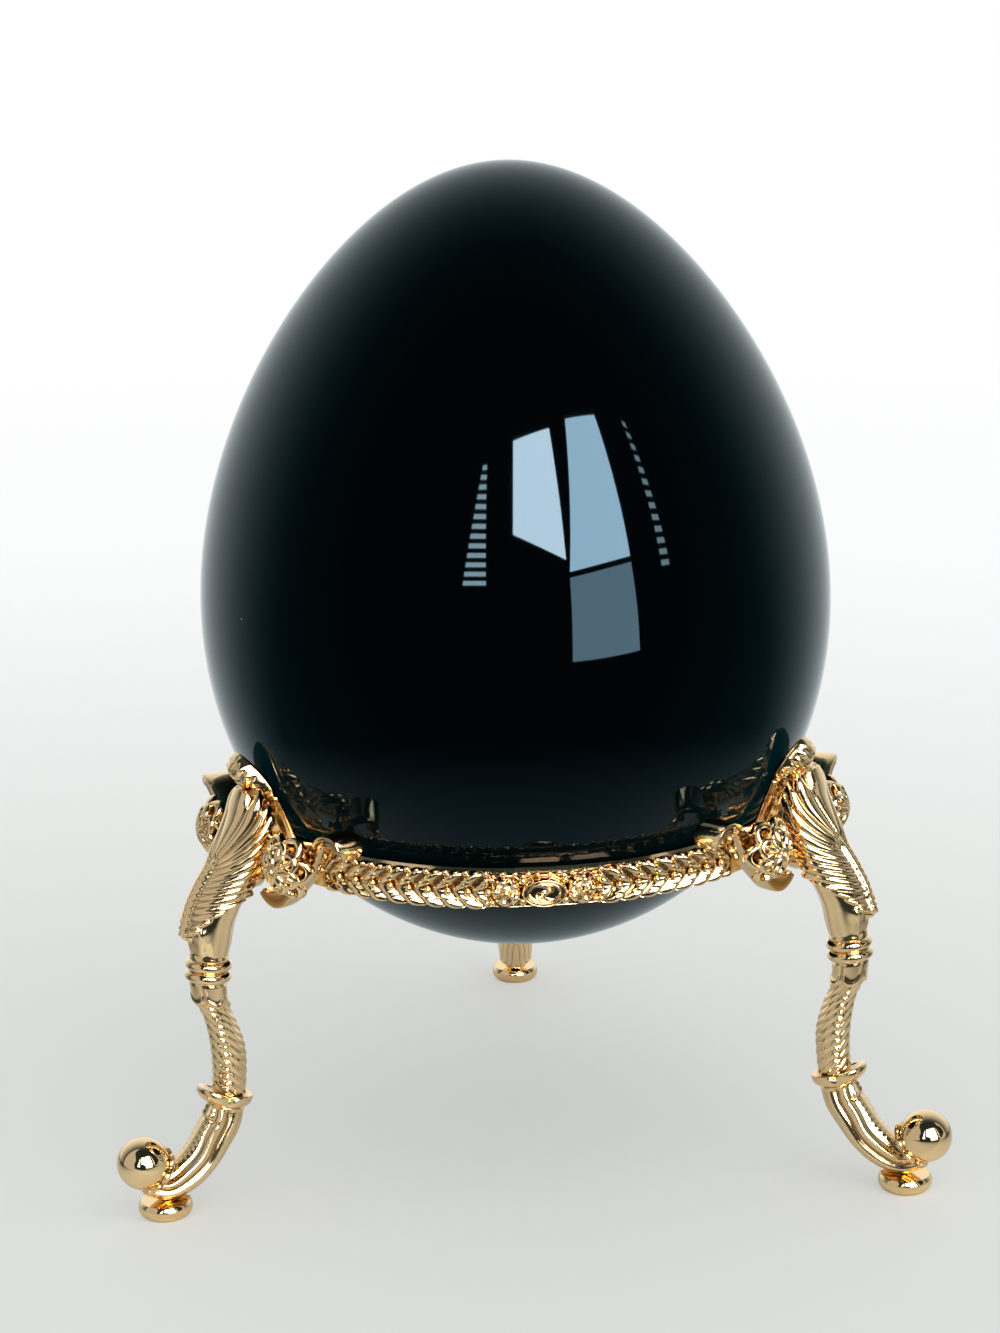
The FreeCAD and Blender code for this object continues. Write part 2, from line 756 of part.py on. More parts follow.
def pad():
    """The button that the foot stands on."""
    widest_z = PAD_HEIGHT * PAD_WIDEST_SHARE
    outline = straight(V(0, 0, PAD_HEIGHT), V(0, 0, 0), V(PAD_SOLE_R, 0, 0))
    outline.append(
        bent(V(PAD_SOLE_R, 0, 0), V(PAD_R, 0, widest_z), V(PAD_TOP_R, 0, PAD_HEIGHT))
    )
    outline += straight(V(PAD_TOP_R, 0, PAD_HEIGHT), V(0, 0, PAD_HEIGHT))
    button = ring_of(outline)
    button.translate(V(PAD_AXIS_R, 0, 0))
    return button


def screw():
    """A slotted screw, put in from inside the ring, that holds a leg on its lug."""
    shaft = Part.makeCylinder(
        SCREW_R,
        LUG_FACE_R + SCREW_GRIP - SCREW_SEAT_R,
        V(SCREW_SEAT_R, 0, SCREW_Z),
        V(1, 0, 0),
    )
    head_r = SCREW_SEAT_R - SCREW_HEAD_THICK
    head = Part.makeCylinder(
        SCREW_HEAD_R,
        SCREW_HEAD_THICK,
        V(head_r, 0, SCREW_Z),
        V(1, 0, 0),
    )
    slot = Part.makeBox(
        SCREW_SLOT_DEPTH + OVERRUN,
        SCREW_SLOT_WIDTH,
        2 * SCREW_HEAD_R + 2 * OVERRUN,
        V(head_r - OVERRUN, -SCREW_SLOT_WIDTH / 2, SCREW_Z - SCREW_HEAD_R - OVERRUN),
    )
    return head.fuse(shaft).cut(slot)


def save(name, shape):
    """Write one sub-part, and print what it measures."""
    shape.exportStep(f"parts/{name}.step")
    box = shape.BoundBox
    print(
        f"{name:28s} solids {len(shape.Solids)} valid {shape.isValid()}"
        f" volume {shape.Volume:10.2f} z {box.ZMin:7.2f} to {box.ZMax:7.2f}"
    )


def main():
    os.makedirs("parts", exist_ok=True)
    save("egg", egg())
    save("ring_band", ring_band())
    leg_parts = {
        "knee": knee(),
        "collar": collar(),
        "shank": shank(),
        "lip": lip(),
        "foot": foot(),
        "ball": ball(),
        "pad": pad(),
        "crest": crest(),
    }
    side_parts = {"scroll": scroll(), "floret": floret()}
    one_garland = garland()
    one_screw = screw()
    screws = []
    for degrees, leg_name in LEG_NAMES.items():
        for part_name, shape in leg_parts.items():
            save(f"{part_name}_{leg_name}", turned(shape, degrees))
        for part_name, shape in side_parts.items():
            for side_name, is_mirrored in MIRRORED_SIDES.items():
                handed = mirrored(shape) if is_mirrored else shape
                save(f"{part_name}_{leg_name}_{side_name}", turned(handed, degrees))
        screws.append(turned(one_screw, degrees))
    save("garland_front", turned(one_garland, -150.0))
    save("garland_right", turned(one_garland, -30.0))
    save("garland_left", turned(one_garland, 90.0))
    save("leg_screws", Part.makeCompound(screws))


main()
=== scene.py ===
import math

import bmesh
import bpy
import numpy as np
from mathutils import Matrix, Vector


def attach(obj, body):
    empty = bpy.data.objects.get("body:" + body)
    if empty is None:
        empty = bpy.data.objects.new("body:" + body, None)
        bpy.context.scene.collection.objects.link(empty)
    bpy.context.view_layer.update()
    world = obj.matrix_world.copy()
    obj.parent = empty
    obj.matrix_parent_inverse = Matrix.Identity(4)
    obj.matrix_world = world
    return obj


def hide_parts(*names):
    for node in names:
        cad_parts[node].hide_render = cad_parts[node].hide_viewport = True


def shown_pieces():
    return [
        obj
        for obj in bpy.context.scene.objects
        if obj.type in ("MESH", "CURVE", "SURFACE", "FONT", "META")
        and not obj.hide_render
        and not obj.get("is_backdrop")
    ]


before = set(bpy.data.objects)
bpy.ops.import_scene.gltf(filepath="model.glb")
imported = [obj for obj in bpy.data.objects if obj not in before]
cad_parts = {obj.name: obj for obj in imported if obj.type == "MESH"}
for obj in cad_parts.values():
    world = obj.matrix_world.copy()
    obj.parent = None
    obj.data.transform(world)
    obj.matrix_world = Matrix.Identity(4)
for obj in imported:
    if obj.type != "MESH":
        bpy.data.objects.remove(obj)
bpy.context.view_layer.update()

# The viewpoint: a little above the egg's widest part, in front of the two front legs,
# with the picture turned slightly. Lengths in this file are millimetres until they
# are placed, and the frame's are metres.
MM = 0.001
IMAGE_LONG_SIDE_PX = 1333
FOCAL_PX = 3000
SENSOR = 36.0
VIEW_PITCH_DEG = 14.44
VIEW_ROLL_DEG = 1.53
VIEW_PLACE = Vector((-2.26, -382.0, 161.9))
VIEW_NEAR_M = 0.01
VIEW_FAR_M = 100
STAND_TURN_DEG = 1.24

pitch = math.radians(VIEW_PITCH_DEG)
roll = math.radians(VIEW_ROLL_DEG)
ahead = Vector((0, math.cos(pitch), -math.sin(pitch)))
upward = Vector((0, math.sin(pitch), math.cos(pitch)))
aside = Vector((1, 0, 0))
axes = Matrix((
    aside * math.cos(roll) - upward * math.sin(roll),
    aside * math.sin(roll) + upward * math.cos(roll),
    -ahead,
)).transposed()
to_stand = Matrix.Rotation(-math.radians(STAND_TURN_DEG), 4, "Z")
camera = bpy.data.objects.new("viewpoint", bpy.data.cameras.new("viewpoint"))
camera.data.sensor_width = SENSOR
camera.data.lens = SENSOR * FOCAL_PX / IMAGE_LONG_SIDE_PX
camera.data.clip_start = VIEW_NEAR_M
camera.data.clip_end = VIEW_FAR_M
camera.matrix_world = to_stand @ Matrix.Translation(VIEW_PLACE * MM) @ axes.to_4x4()
bpy.context.scene.collection.objects.link(camera)
bpy.context.scene.camera = camera

# The egg: one piece of black volcanic glass, turned and polished to a deep gloss. It
# isn't fixed. It stands point up in the ring by its own weight and lifts straight out.
EGG_HEIGHT = 102.2
EGG_WIDTH = 82.0
EGG_TAPER = 0.1275
EGG_FLAT = -0.0614
EGG_BOTTOM = 27.2
EGG_ROWS = 220
EGG_COLUMNS = 256
GLASS = (0.0005, 0.0003, 0.0005, 1)
GLASS_IOR = 1.25
GLASS_TINT = (0.30, 0.70, 1.0, 1)
GLASS_EDGE = (0.02, 0.82, 1.0, 1)
GLASS_EDGE_WEIGHT = 0.10
GLASS_EDGE_ROUGH = 0.42
GLASS_ROUGH = (0.012, 0.05)
PIT_SCALE = 60
PIT_DETAIL = 5
WAVE_SCALE = 45
WAVE_DETAIL = 1
WAVE_STRENGTH = 0.05
WAVE_DEPTH_M = 0.0004
DUST = (0.16, 0.17, 0.17, 1)
DUST_SCALE = 150
DUST_R = 0.022
DUST_BARE_SHARE = 0.72
NODE_START = -3600
NODE_STEP = (180, 220)


def egg_outline(turn):
    height = np.cos(turn)
    return np.sin(turn) * (1 - EGG_TAPER * height + EGG_FLAT * height ** 2)


EGG_WIDEST = egg_outline(np.linspace(0, math.pi, 2000)).max()


def egg_radius(z):
    """The egg's radius at a height over the floor."""
    turn = np.arccos(np.clip((z - EGG_BOTTOM) / (EGG_HEIGHT / 2) - 1, -1, 1))
    return EGG_WIDTH / 2 * egg_outline(turn) / EGG_WIDEST


def around(columns, start=0.0):
    """One row of evenly spaced directions, once round."""
    return np.linspace(start, start + 2 * math.pi, columns, endpoint=False)[None]


def skin(rings, painted_shade=None):
    """A closed skin over rings of points. Each end is drawn in to its middle."""
    rows, columns = rings.shape[:2]
    row, column = np.meshgrid(np.arange(rows - 1), np.arange(columns), indexing="ij")
    after = (column + 1) % columns
    quads = np.stack([
        row * columns + column,
        row * columns + after,
        (row + 1) * columns + after,
        (row + 1) * columns + column,
    ], -1).reshape(-1, 4).tolist()
    first = np.arange(columns)
    second = (first + 1) % columns
    end = (rows - 1) * columns
    middle = rows * columns
    fans = [[int(b), int(a), middle] for a, b in zip(first, second)]
    fans += [[int(a), int(b), middle + 1] for a, b in zip(first + end, second + end)]
    points = np.concatenate([rings.reshape(-1, 3), rings[:1].mean(1), rings[-1:].mean(1)])
    # Painted shade for each point: none unless it is given.
    if painted_shade is None:
        painted_shade = np.zeros((rows, columns))
    depth = np.concatenate([painted_shade.ravel(), [painted_shade[0].mean(), painted_shade[-1].mean()]])
    return points, quads + fans, depth


def moulded(name, skins):
    """One mesh, in metres, from closed skins. It keeps each point's painted shade, darker in
    the hollows.
    """
    points, faces, depths = [], [], []
    count = 0
    for skin_points, skin_faces, depth in skins:
        points.append(skin_points)
        faces += [[corner + count for corner in face] for face in skin_faces]
        depths.append(depth)
        count += len(skin_points)
    mesh = bpy.data.meshes.new(name)
    mesh.from_pydata(np.concatenate(points) * MM, [], faces)
    # The painted shade of each point, which the gilding darkens by.
    layer = mesh.attributes.new("painted_shade", "FLOAT", "POINT")
    layer.data.foreach_set("value", np.concatenate(depths).astype(np.float32))
    work = bmesh.new()
    work.from_mesh(mesh)
    bmesh.ops.recalc_face_normals(work, faces=work.faces)
    work.to_mesh(mesh)
    work.free()
    mesh.polygons.foreach_set("use_smooth", [True] * len(mesh.polygons))
    mesh.update()
    return mesh


def fitted(name, mesh, finish, slot, body, *nodes, turn=0.0, mirrored=False):
    """A copy of a mesh, turned to its place round the egg, with its finish."""
    own = mesh.copy()
    if mirrored:
        own.transform(Matrix.Scale(-1, 4, (0, 1, 0)))
        own.flip_normals()
    own.transform(Matrix.Rotation(math.radians(turn), 4, "Z"))
    own.materials.clear()
    own.materials.append(finish)
    piece = bpy.data.objects.new(name, own)
    bpy.context.scene.collection.objects.link(piece)
    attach(piece, body)
    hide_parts(*nodes)
    return piece


def feed(tree, made, inputs):
    """Sets a node's inputs, each to a value or to the output that feeds it."""
    for name, value in inputs.items():
        if isinstance(value, bpy.types.NodeSocket):
            tree.links.new(value, made.inputs[name])
        else:
            made.inputs[name].default_value = value


def node(tree, kind, inputs=None, **settings):
    """A shader node, one step to the right of the node before it."""
    made = tree.nodes.new(kind)
    count = len(tree.nodes)
    made.location = (NODE_START + NODE_STEP[0] * count, -NODE_STEP[1] * (count % 3))
    for name, value in settings.items():
        setattr(made, name, value)
    feed(tree, made, inputs or {})
    return made


def noise(tree, place, scale, detail):
    """Soft clouds over a piece, from 0 to 1."""
    inputs = {"Vector": place, "Scale": scale, "Detail": detail}
    return node(tree, "ShaderNodeTexNoise", inputs).outputs["Fac"]


def calculated(tree, operation, one, other):
    """Two numbers multiplied, or held against each other."""
    return node(tree, "ShaderNodeMath", {0: one, 1: other}, operation=operation).outputs[0]


def ranged(tree, value, low, high, to=(0.0, 1.0), **settings):
    """A number moved from the range low to high into another range."""
    inputs = {"Value": value, "From Min": low, "From Max": high}
    inputs.update({"To Min": to[0], "To Max": to[1]})
    return node(tree, "ShaderNodeMapRange", inputs, **settings).outputs["Result"]


def mixed(tree, share, one, other):
    """A colour between two colours."""
    inputs = {0: share, 6: one, 7: other}
    return node(tree, "ShaderNodeMix", inputs, data_type="RGBA").outputs[2]


def rippled(tree, height, strength, depth):
    """A surface that is slightly uneven."""
    inputs = {"Height": height, "Strength": strength, "Distance": depth}
    return node(tree, "ShaderNodeBump", inputs).outputs["Normal"]


def new_finish(name):
    """A new material, with its tree of nodes and its shader."""
    finish = bpy.data.materials.new(name)
    finish.use_nodes = True
    return finish, finish.node_tree, finish.node_tree.nodes["Principled BSDF"]


def polished_glass():
    """Black glass: deep gloss, a cool edge, faint pits and a few specks of dust."""
    finish, tree, gloss = new_finish("polished_black_glass")
    place = node(tree, "ShaderNodeTexCoord").outputs["Object"]
    cells = node(tree, "ShaderNodeTexVoronoi", {"Vector": place, "Scale": DUST_SCALE})
    near = calculated(tree, "LESS_THAN", cells.outputs["Distance"], DUST_R)
    draw = node(tree, "ShaderNodeSeparateColor", {0: cells.outputs["Color"]}).outputs[0]
    some = calculated(tree, "GREATER_THAN", draw, DUST_BARE_SHARE)
    speck = calculated(tree, "MULTIPLY", near, some)
    pits = noise(tree, place, PIT_SCALE, PIT_DETAIL)
    wave = noise(tree, place, WAVE_SCALE, WAVE_DETAIL)
    feed(tree, gloss, {
        "Base Color": mixed(tree, speck, GLASS, DUST),
        "IOR": GLASS_IOR,
        "Specular Tint": GLASS_TINT,
        "Sheen Weight": GLASS_EDGE_WEIGHT,
        "Sheen Roughness": GLASS_EDGE_ROUGH,
        "Sheen Tint": GLASS_EDGE,
        "Roughness": ranged(tree, pits, 0, 1, GLASS_ROUGH),
        "Normal": rippled(tree, wave, WAVE_STRENGTH, WAVE_DEPTH_M),
    })
    return finish


turns = np.linspace(0, math.pi, EGG_ROWS + 2)[1:-1, None]
circle = around(EGG_COLUMNS)
radii = EGG_WIDTH / 2 * egg_outline(turns) / EGG_WIDEST
heights = EGG_BOTTOM + EGG_HEIGHT / 2 * (1 + np.cos(turns))
egg_skin = skin(np.stack([
    radii * np.cos(circle), radii * np.sin(circle), np.repeat(heights, EGG_COLUMNS, 1),
], -1))
egg_skin[0][-2:, 2] = EGG_BOTTOM + EGG_HEIGHT, EGG_BOTTOM
egg_mesh = moulded("egg", [egg_skin])
fitted("glass_egg", egg_mesh, polished_glass(), "egg", "egg", "egg")

# The plain ring: a band of gilt brass whose sloped inner edge is the egg's seat, with a
# lug for each leg. Its gilding is the one that all the cast pieces have.
GOLD = (0.94, 0.72, 0.415, 1)
GOLD_WARM = (0.92, 0.665, 0.35, 1)
# Painted shade: the dark brown that the gilt's hollows are coloured with.
GOLD_PAINTED_SHADE = (0.20, 0.11, 0.045, 1)
CLOUD_SCALE = 240
CLOUD_DETAIL = 4
GRAIN_SCALE = 900
GRAIN_DETAIL = 3
GRAIN_DEPTH_M = 0.0002
CAST_ROUGH = (0.07, 0.17)
CAST_GRAIN = 0.12
SMOOTH_ROUGH = (0.05, 0.10)
SMOOTH_GRAIN = 0.05


def gilding(name, rough, grain):
    """Gilt brass: bright and even, with painted shade darkening its hollows, and a cast
    surface's grain.
    """
    finish, tree, metal = new_finish(name)
    place = node(tree, "ShaderNodeTexCoord").outputs["Object"]
    cloud = noise(tree, place, CLOUD_SCALE, CLOUD_DETAIL)
    tone = mixed(tree, cloud, GOLD, GOLD_WARM)
    # Painted shade: each point's darkening in the hollows, from the piece's mesh.
    painted_shade = node(tree, "ShaderNodeAttribute", attribute_name="painted_shade").outputs["Fac"]
    bumps = noise(tree, place, GRAIN_SCALE, GRAIN_DETAIL)
    feed(tree, metal, {
        "Base Color": mixed(tree, painted_shade, tone, GOLD_PAINTED_SHADE),
        "Metallic": 1.0,
        "Roughness": ranged(tree, cloud, 0, 1, rough),
        "Normal": rippled(tree, bumps, grain, GRAIN_DEPTH_M),
    })
    return finish


def refinish(name, finish):
    """Gives a turned piece of the frame its finish."""
    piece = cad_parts[name]
    piece.data.materials.clear()
    piece.data.materials.append(finish)


cast_gilding = gilding("cast_gilding", CAST_ROUGH, CAST_GRAIN)
smooth_gilding = gilding("smooth_gilding", SMOOTH_ROUGH, SMOOTH_GRAIN)
refinish("ring_band", smooth_gilding)

# The garlands: laurel chains cast in brass and soldered on the ring between the legs.
# Pairs of leaves point away from an oval medallion, with berries between the pairs and
# a rosette on each side of the medallion.
STRIP_BACK_R = 35.45
STRIP_THICK = 1.15
STRIP_TOP = 46.7
STRIP_HEIGHT = 4.0
STRIP_SINK = 0.35
STRIP_START_DEG = 5.5
STRIP_ROWS = 620
STRIP_COLUMNS = 34
STRIP_EDGES = np.linspace(0.85, 0.0, 4)
CHAIN_START_DEG = 17.0
CHAIN_FADE_DEG = 1.5
LEAF_PITCH = 2.5
LEAF_SLANT = 1.15
LEAF_PROUD = 1.15
LEAF_POWER = 0.7
LEAF_ROOT = 0.45
LEAF_RIM = 0.30
LEAF_OVERHANG = 0.36
ROSETTE_OFF = 4.6
ROSETTE_R = 2.0
ROSETTE_GAP = 0.2
ROSETTE_PETALS = 5
# Soft ridges: the place, height and width of each.
LEAF_CREASE = ((0.5, 0.20, 0.07),)
ROSETTE_CUP = ((0.65, 0.45, 0.25),)
ROSETTE_HEART = ((0.0, 1.0, 0.28),)
MEDALLION_RIMS = ((0.93, 0.42, 0.07), (0.72, 0.32, 0.055), (0.0, 0.18, 0.12))
# Beads: the way along the strip from the medallion, up and outwards, and the radius.
CHAIN_BEADS = ((0.0, 0.0, 0.3, 0.46), (0.3, 2.25, -0.1, 0.42), (1.5, 2.2, -0.1, 0.336))
GAP_BEADS = (
    (2.6, 1.3, -0.1, 0.5), (2.6, -1.3, -0.1, 0.5), (6.35, 1.45, -0.1, 0.4),
    (6.35, -1.45, -0.1, 0.4), (0.75, 2.15, -0.1, 0.36), (1.9, 2.2, -0.1, 0.42),
    (3.5, 2.2, -0.1, 0.36), (5.0, 2.2, -0.1, 0.42),
)
BEAD_ROWS = 7
BEAD_COLUMNS = 12
MEDALLION_DEG = 62.5
MEDALLION_LENGTH = 5.4
MEDALLION_HEIGHT = 3.5
MEDALLION_THICK = 0.75
MEDALLION_SWIRL = 0.55
MEDALLION_TWIST = 5.2
MEDALLION_BACK = ((1.02, 0.35), (1.0, -0.3), (0.6, -0.9))
MEDALLION_ROWS = 30
MEDALLION_COLUMNS = 72
GARLAND_NAMES = {-150.0: "front", -30.0: "right", 90.0: "left"}


def eased(value, low, high):
    """0 below low, 1 above high, and a soft step between them."""
    share = np.clip((value - low) / (high - low), 0, 1)
    return share * share * (3 - 2 * share)


def bell(value, width):
    return np.exp(-(value / width) ** 2)


def ridges(value, table):
    """Soft ridges and grooves side by side, each by its place, height and width."""
    return sum(height * bell(value - at, width) for at, height, width in table)


def ridged(value, power):
    """A rounded ridge from each whole number to the next."""
    return np.sin(math.pi * (value - np.floor(value))) ** power


def bead(middle, radius):
    """A small round bead, cast as part of an ornament."""
    turn = np.linspace(0, math.pi, BEAD_ROWS + 2)[1:-1, None]
    girth = around(BEAD_COLUMNS)
    rings = middle + radius * np.stack([
        np.sin(turn) * np.cos(girth), np.sin(turn) * np.sin(girth), np.cos(turn) + 0 * girth,
    ], -1)
    points, faces, depth = skin(rings)
    points[-2:] = middle
    points[-2, 2] += radius
    points[-1, 2] -= radius
    return points, faces, depth


def on_ring(reach, degrees, z):
    """A point at a reach from the egg's axis, in a direction round it."""
    turn = np.radians(degrees)
    return np.stack(np.broadcast_arrays(reach * np.cos(turn), reach * np.sin(turn), z), -1)


def garland():
    """The strip, its leaves, rosettes, berries and beads, and the medallion."""
    face_r = STRIP_BACK_R + STRIP_THICK
    middle_z = STRIP_TOP - STRIP_HEIGHT / 2
    degrees = np.linspace(STRIP_START_DEG, 120 - STRIP_START_DEG, STRIP_ROWS)[:, None]
    off = np.abs(np.radians(degrees - MEDALLION_DEG)) * face_r
    shown = 1.0
    for from_end in (degrees, 120 - degrees):
        shown = shown * eased(from_end, CHAIN_START_DEG - CHAIN_FADE_DEG, CHAIN_START_DEG)
    across = np.linspace(-1, 1, STRIP_COLUMNS)[None]
    half = np.abs(across)
    first = ROSETTE_OFF + ROSETTE_R + ROSETTE_GAP
    place = (off - first + LEAF_SLANT * half * STRIP_HEIGHT / 2) / LEAF_PITCH
    along_leaf = place - np.floor(place)
    leaf = ridged(place, LEAF_POWER) * (LEAF_ROOT + (1 - LEAF_ROOT) * along_leaf)
    cushion = np.sqrt(np.clip(1 - (2 * half - 1) ** 2, 0, 1))
    leaves = leaf * (LEAF_RIM + (1 - LEAF_RIM) * cushion - ridges(half, LEAF_CREASE))
    petal_up, petal_off = across * STRIP_HEIGHT / 2, off - ROSETTE_OFF
    petal_far = np.hypot(petal_up, petal_off) / ROSETTE_R
    lobes = np.abs(np.cos(ROSETTE_PETALS / 2 * np.arctan2(petal_up, petal_off))) ** 0.5
    rosette = eased(-petal_far, -1.05, -0.8) * (0.25 + 0.75 * lobes)
    rosette = rosette * (0.55 + ridges(petal_far, ROSETTE_CUP))
    rosette = rosette + ridges(petal_far, ROSETTE_HEART)
    near = eased(-off, -first - 0.1, -first + 0.15)
    relief = shown * (leaves * (1 - near) + rosette * near)
    # Painted shade in the chain's low parts, between the leaves and round the rosettes.
    painted_shade = shown * np.clip(0.9 - 1.25 * relief, 0, 1) * eased(1 - half, 0.0, 0.12)
    painted_shade = painted_shade * (1 - 0.65 * near * eased(petal_far, 0.95, 1.1))
    wave = shown * (0.04 + LEAF_OVERHANG * leaf * (1 - near))
    z = middle_z + across * (STRIP_HEIGHT / 2 + wave)
    rings = [on_ring(face_r - STRIP_SINK * shown + LEAF_PROUD * relief, degrees, z)]
    for edge, shares in ((-1, STRIP_EDGES), (0, STRIP_EDGES[::-1])):
        for share in shares:
            rings.append(on_ring(STRIP_BACK_R + STRIP_THICK * share, degrees, z[:, [edge]]))
    flat = np.zeros((STRIP_ROWS, 2 * len(STRIP_EDGES)))
    skins = [skin(np.concatenate(rings, 1), np.concatenate([painted_shade, flat], 1))]
    for side in (-1, 1):
        limit = math.radians(60 - CHAIN_START_DEG - side * (MEDALLION_DEG - 60)) * face_r
        beads = list(GAP_BEADS)
        for n in range(int((limit - first) / LEAF_PITCH) + 1):
            beads += [(first + n * LEAF_PITCH + along, *rest) for along, *rest in CHAIN_BEADS]
        for along, up, out, radius in beads:
            turn = MEDALLION_DEG + side * math.degrees(along / face_r)
            skins.append(bead(on_ring(face_r + out, turn, middle_z + up), radius))
    return skins + [medallion(face_r, middle_z)]


def medallion(face_r, middle_z):
    """The oval medallion: a double rim round a swirl of two drops."""
    share = np.linspace(0.02, 1, MEDALLION_ROWS)[:, None]
    turn = around(MEDALLION_COLUMNS)
    swirl = np.clip(np.cos(2 * turn - MEDALLION_TWIST * share), 0, 1) * bell(share - 0.33, 0.2)
    height = MEDALLION_THICK + ridges(share, MEDALLION_RIMS) + MEDALLION_SWIRL * swirl
    # Painted shade in the medallion's low parts, between its rims and its swirl.
    low = np.clip(1 - (height - MEDALLION_THICK) / 0.3, 0, 1)
    painted_shade = 0.45 * low * eased(1 - share, 0.05, 0.15)
    back = np.array(MEDALLION_BACK)
    size = np.concatenate([share, back[:, :1]]) + 0 * turn
    height = np.concatenate([height, back[:, 1:] + 0 * turn])
    painted_shade = np.concatenate([painted_shade, np.zeros((len(back), MEDALLION_COLUMNS))])
    aside_deg = np.degrees(size * np.cos(turn) * MEDALLION_LENGTH / 2 / face_r)
    up = size * np.sin(turn) * MEDALLION_HEIGHT / 2
    return skin(on_ring(face_r + height, MEDALLION_DEG + aside_deg, middle_z + up), painted_shade)


garland_mesh = moulded("garland", garland())
for turn_deg, side_name in GARLAND_NAMES.items():
    fitted(
        f"laurel_{side_name}", garland_mesh, cast_gilding, "gilt", "stand",
        f"garland_{side_name}", turn=turn_deg,
    )

# The scrolls: cast ribbons, one on each side of a leg. Each is a shallow trough with
# raised rims. It starts under the floret, sweeps up along the ring and rolls over.
SCROLL_BACK = 36.65
SCROLL_OFF_DEG = 14.4
SCROLL_START_DEG = -45.0
SCROLL_LOW = (-5.4, 40.45)
# The run: arcs of a radius and an angle, and one straight of a length.
SCROLL_BENDS = ((2.7, 91.5), (None, 11.6), (3.4, -46.5), (1.3, -200.0))
# The depth, and half the width, at each share of the run.
SCROLL_DEPTHS = ((0.0, 3.7), (0.4, 3.9), (0.6, 4.5), (0.78, 5.2), (0.88, 5.0), (1.0, 2.6))
SCROLL_HALVES = (
    (0.0, 0.5), (0.1, 1.15), (0.35, 1.3), (0.58, 1.2), (0.75, 0.8), (0.85, 0.58), (1.0, 0.32),
)
SCROLL_TROUGH = 0.75
SCROLL_TROUGH_POWER = 1.2
SCROLL_NICK = ((0.62, 0.12, 0.1),)
SCROLL_CORNERS = 0.6
# How dark the painted shade in the ribbon's trough is.
SCROLL_PAINTED_SHADE = 0.8
SCROLL_STEP = 0.08
SCROLL_ROWS = 130
SCROLL_COLUMNS = 40
LEGS = {-150.0: "front_left", -30.0: "front_right", 90.0: "back"}
SIDES = {"right": False, "left": True}


def scroll_line():
    """Points along the ribbon's middle, with the way it heads at each."""
    heading = math.radians(SCROLL_START_DEG)
    radius = SCROLL_BENDS[0][0]
    place = np.array([
        SCROLL_LOW[0] + radius * math.sin(heading),
        SCROLL_LOW[1] + radius * (1 - math.cos(heading)),
    ])
    places, headings = [place.copy()], [heading]
    for radius, amount in SCROLL_BENDS:
        length = amount if radius is None else abs(math.radians(amount)) * radius
        count = max(int(length / SCROLL_STEP), 4)
        bend = 0.0 if radius is None else math.radians(amount) / count
        for n in range(count):
            heading += bend / 2
            place = place + length / count * np.array([math.cos(heading), math.sin(heading)])
            heading += bend / 2
            places.append(place.copy())
            headings.append(heading)
    return np.array(places), np.array(headings)


def boxy(turn, power):
    """Sine and cosine, squared off by a power."""
    side = np.sign(np.sin(turn)) * np.abs(np.sin(turn)) ** power
    front = np.sign(np.cos(turn)) * np.abs(np.cos(turn)) ** power
    return side, front


def scroll():
    places, headings = scroll_line()
    pick = np.linspace(0, len(places) - 1, SCROLL_ROWS).astype(int)
    places, headings = places[pick], headings[pick]
    share = np.linspace(0, 1, SCROLL_ROWS)
    half = np.interp(share, *np.array(SCROLL_HALVES).T)[:, None]
    deep = np.interp(share, *np.array(SCROLL_DEPTHS).T)[:, None]
    side, front = boxy(around(SCROLL_COLUMNS), SCROLL_CORNERS)
    sunk = np.where(front > 0, SCROLL_TROUGH * (1 - side ** 2) ** SCROLL_TROUGH_POWER, 0)
    nick = ridges(np.abs(side), SCROLL_NICK) * (front > 0)
    reach = SCROLL_BACK + deep / 2 * (1 + front) - sunk - nick
    y = places[:, :1] - np.sin(headings)[:, None] * half * side
    z = places[:, 1:] + np.cos(headings)[:, None] * half * side
    # Painted shade in the ribbon's trough.
    painted_shade = np.clip(sunk / SCROLL_TROUGH, 0, 1) * SCROLL_PAINTED_SHADE + 0 * half
    return skin(np.stack([reach, y, z], -1), painted_shade)


def beside_leg(skins):
    """Skins turned from a leg's middle plane to the ornament's place beside it."""
    c, s = math.cos(math.radians(SCROLL_OFF_DEG)), math.sin(math.radians(SCROLL_OFF_DEG))
    turned = []
    for points, faces, depth in skins:
        x, y, z = points.T
        turned.append((np.stack([x * c - y * s, x * s + y * c, z], -1), faces, depth))
    return turned


def beside_each_leg(kind, mesh):
    """Sets a casting on both sides of each leg, mirrored on the left."""
    for turn, leg in LEGS.items():
        for side, mirrored in SIDES.items():
            fitted(
                f"cast_{kind}_{leg}_{side}", mesh, cast_gilding, "gilt", "stand",
                f"{kind}_{leg}_{side}", turn=turn, mirrored=mirrored,
            )


beside_each_leg("scroll", moulded("scroll", beside_leg([scroll()])))

# The florets: a cast flower in front of each scroll, on a short stem. Two rows of six
# cupped petals stand round a heart of beads, on a thin disc.
FLORET_BACK = 41.0
FLORET_SIDE = -0.4
FLORET_Z = 46.3
FLORET_PETALS = 6
FLORET_STEM_R = 0.9
FLORET_STEM_COLUMNS = 24
# Round forms: the reach, the height, and how dark the painted shade is there.
FLORET_DISC = (
    (0.2, 0.8, 0.8), (1.5, 0.75, 0.8), (2.3, 0.55, 0.8), (2.65, 0.35, 0.2), (2.7, 0.15, 0),
    (2.5, 0.02, 0),
)
PETAL = (
    (0.10, 0.40, 1), (0.40, 0.42, 1), (0.72, 0.60, 0.8), (1.0, 0.98, 0.4), (1.22, 1.30, 0),
    (1.42, 1.36, 0), (1.60, 1.18, 0), (1.68, 0.80, 0), (1.58, 0.35, 0), (1.1, 0.10, 0),
)
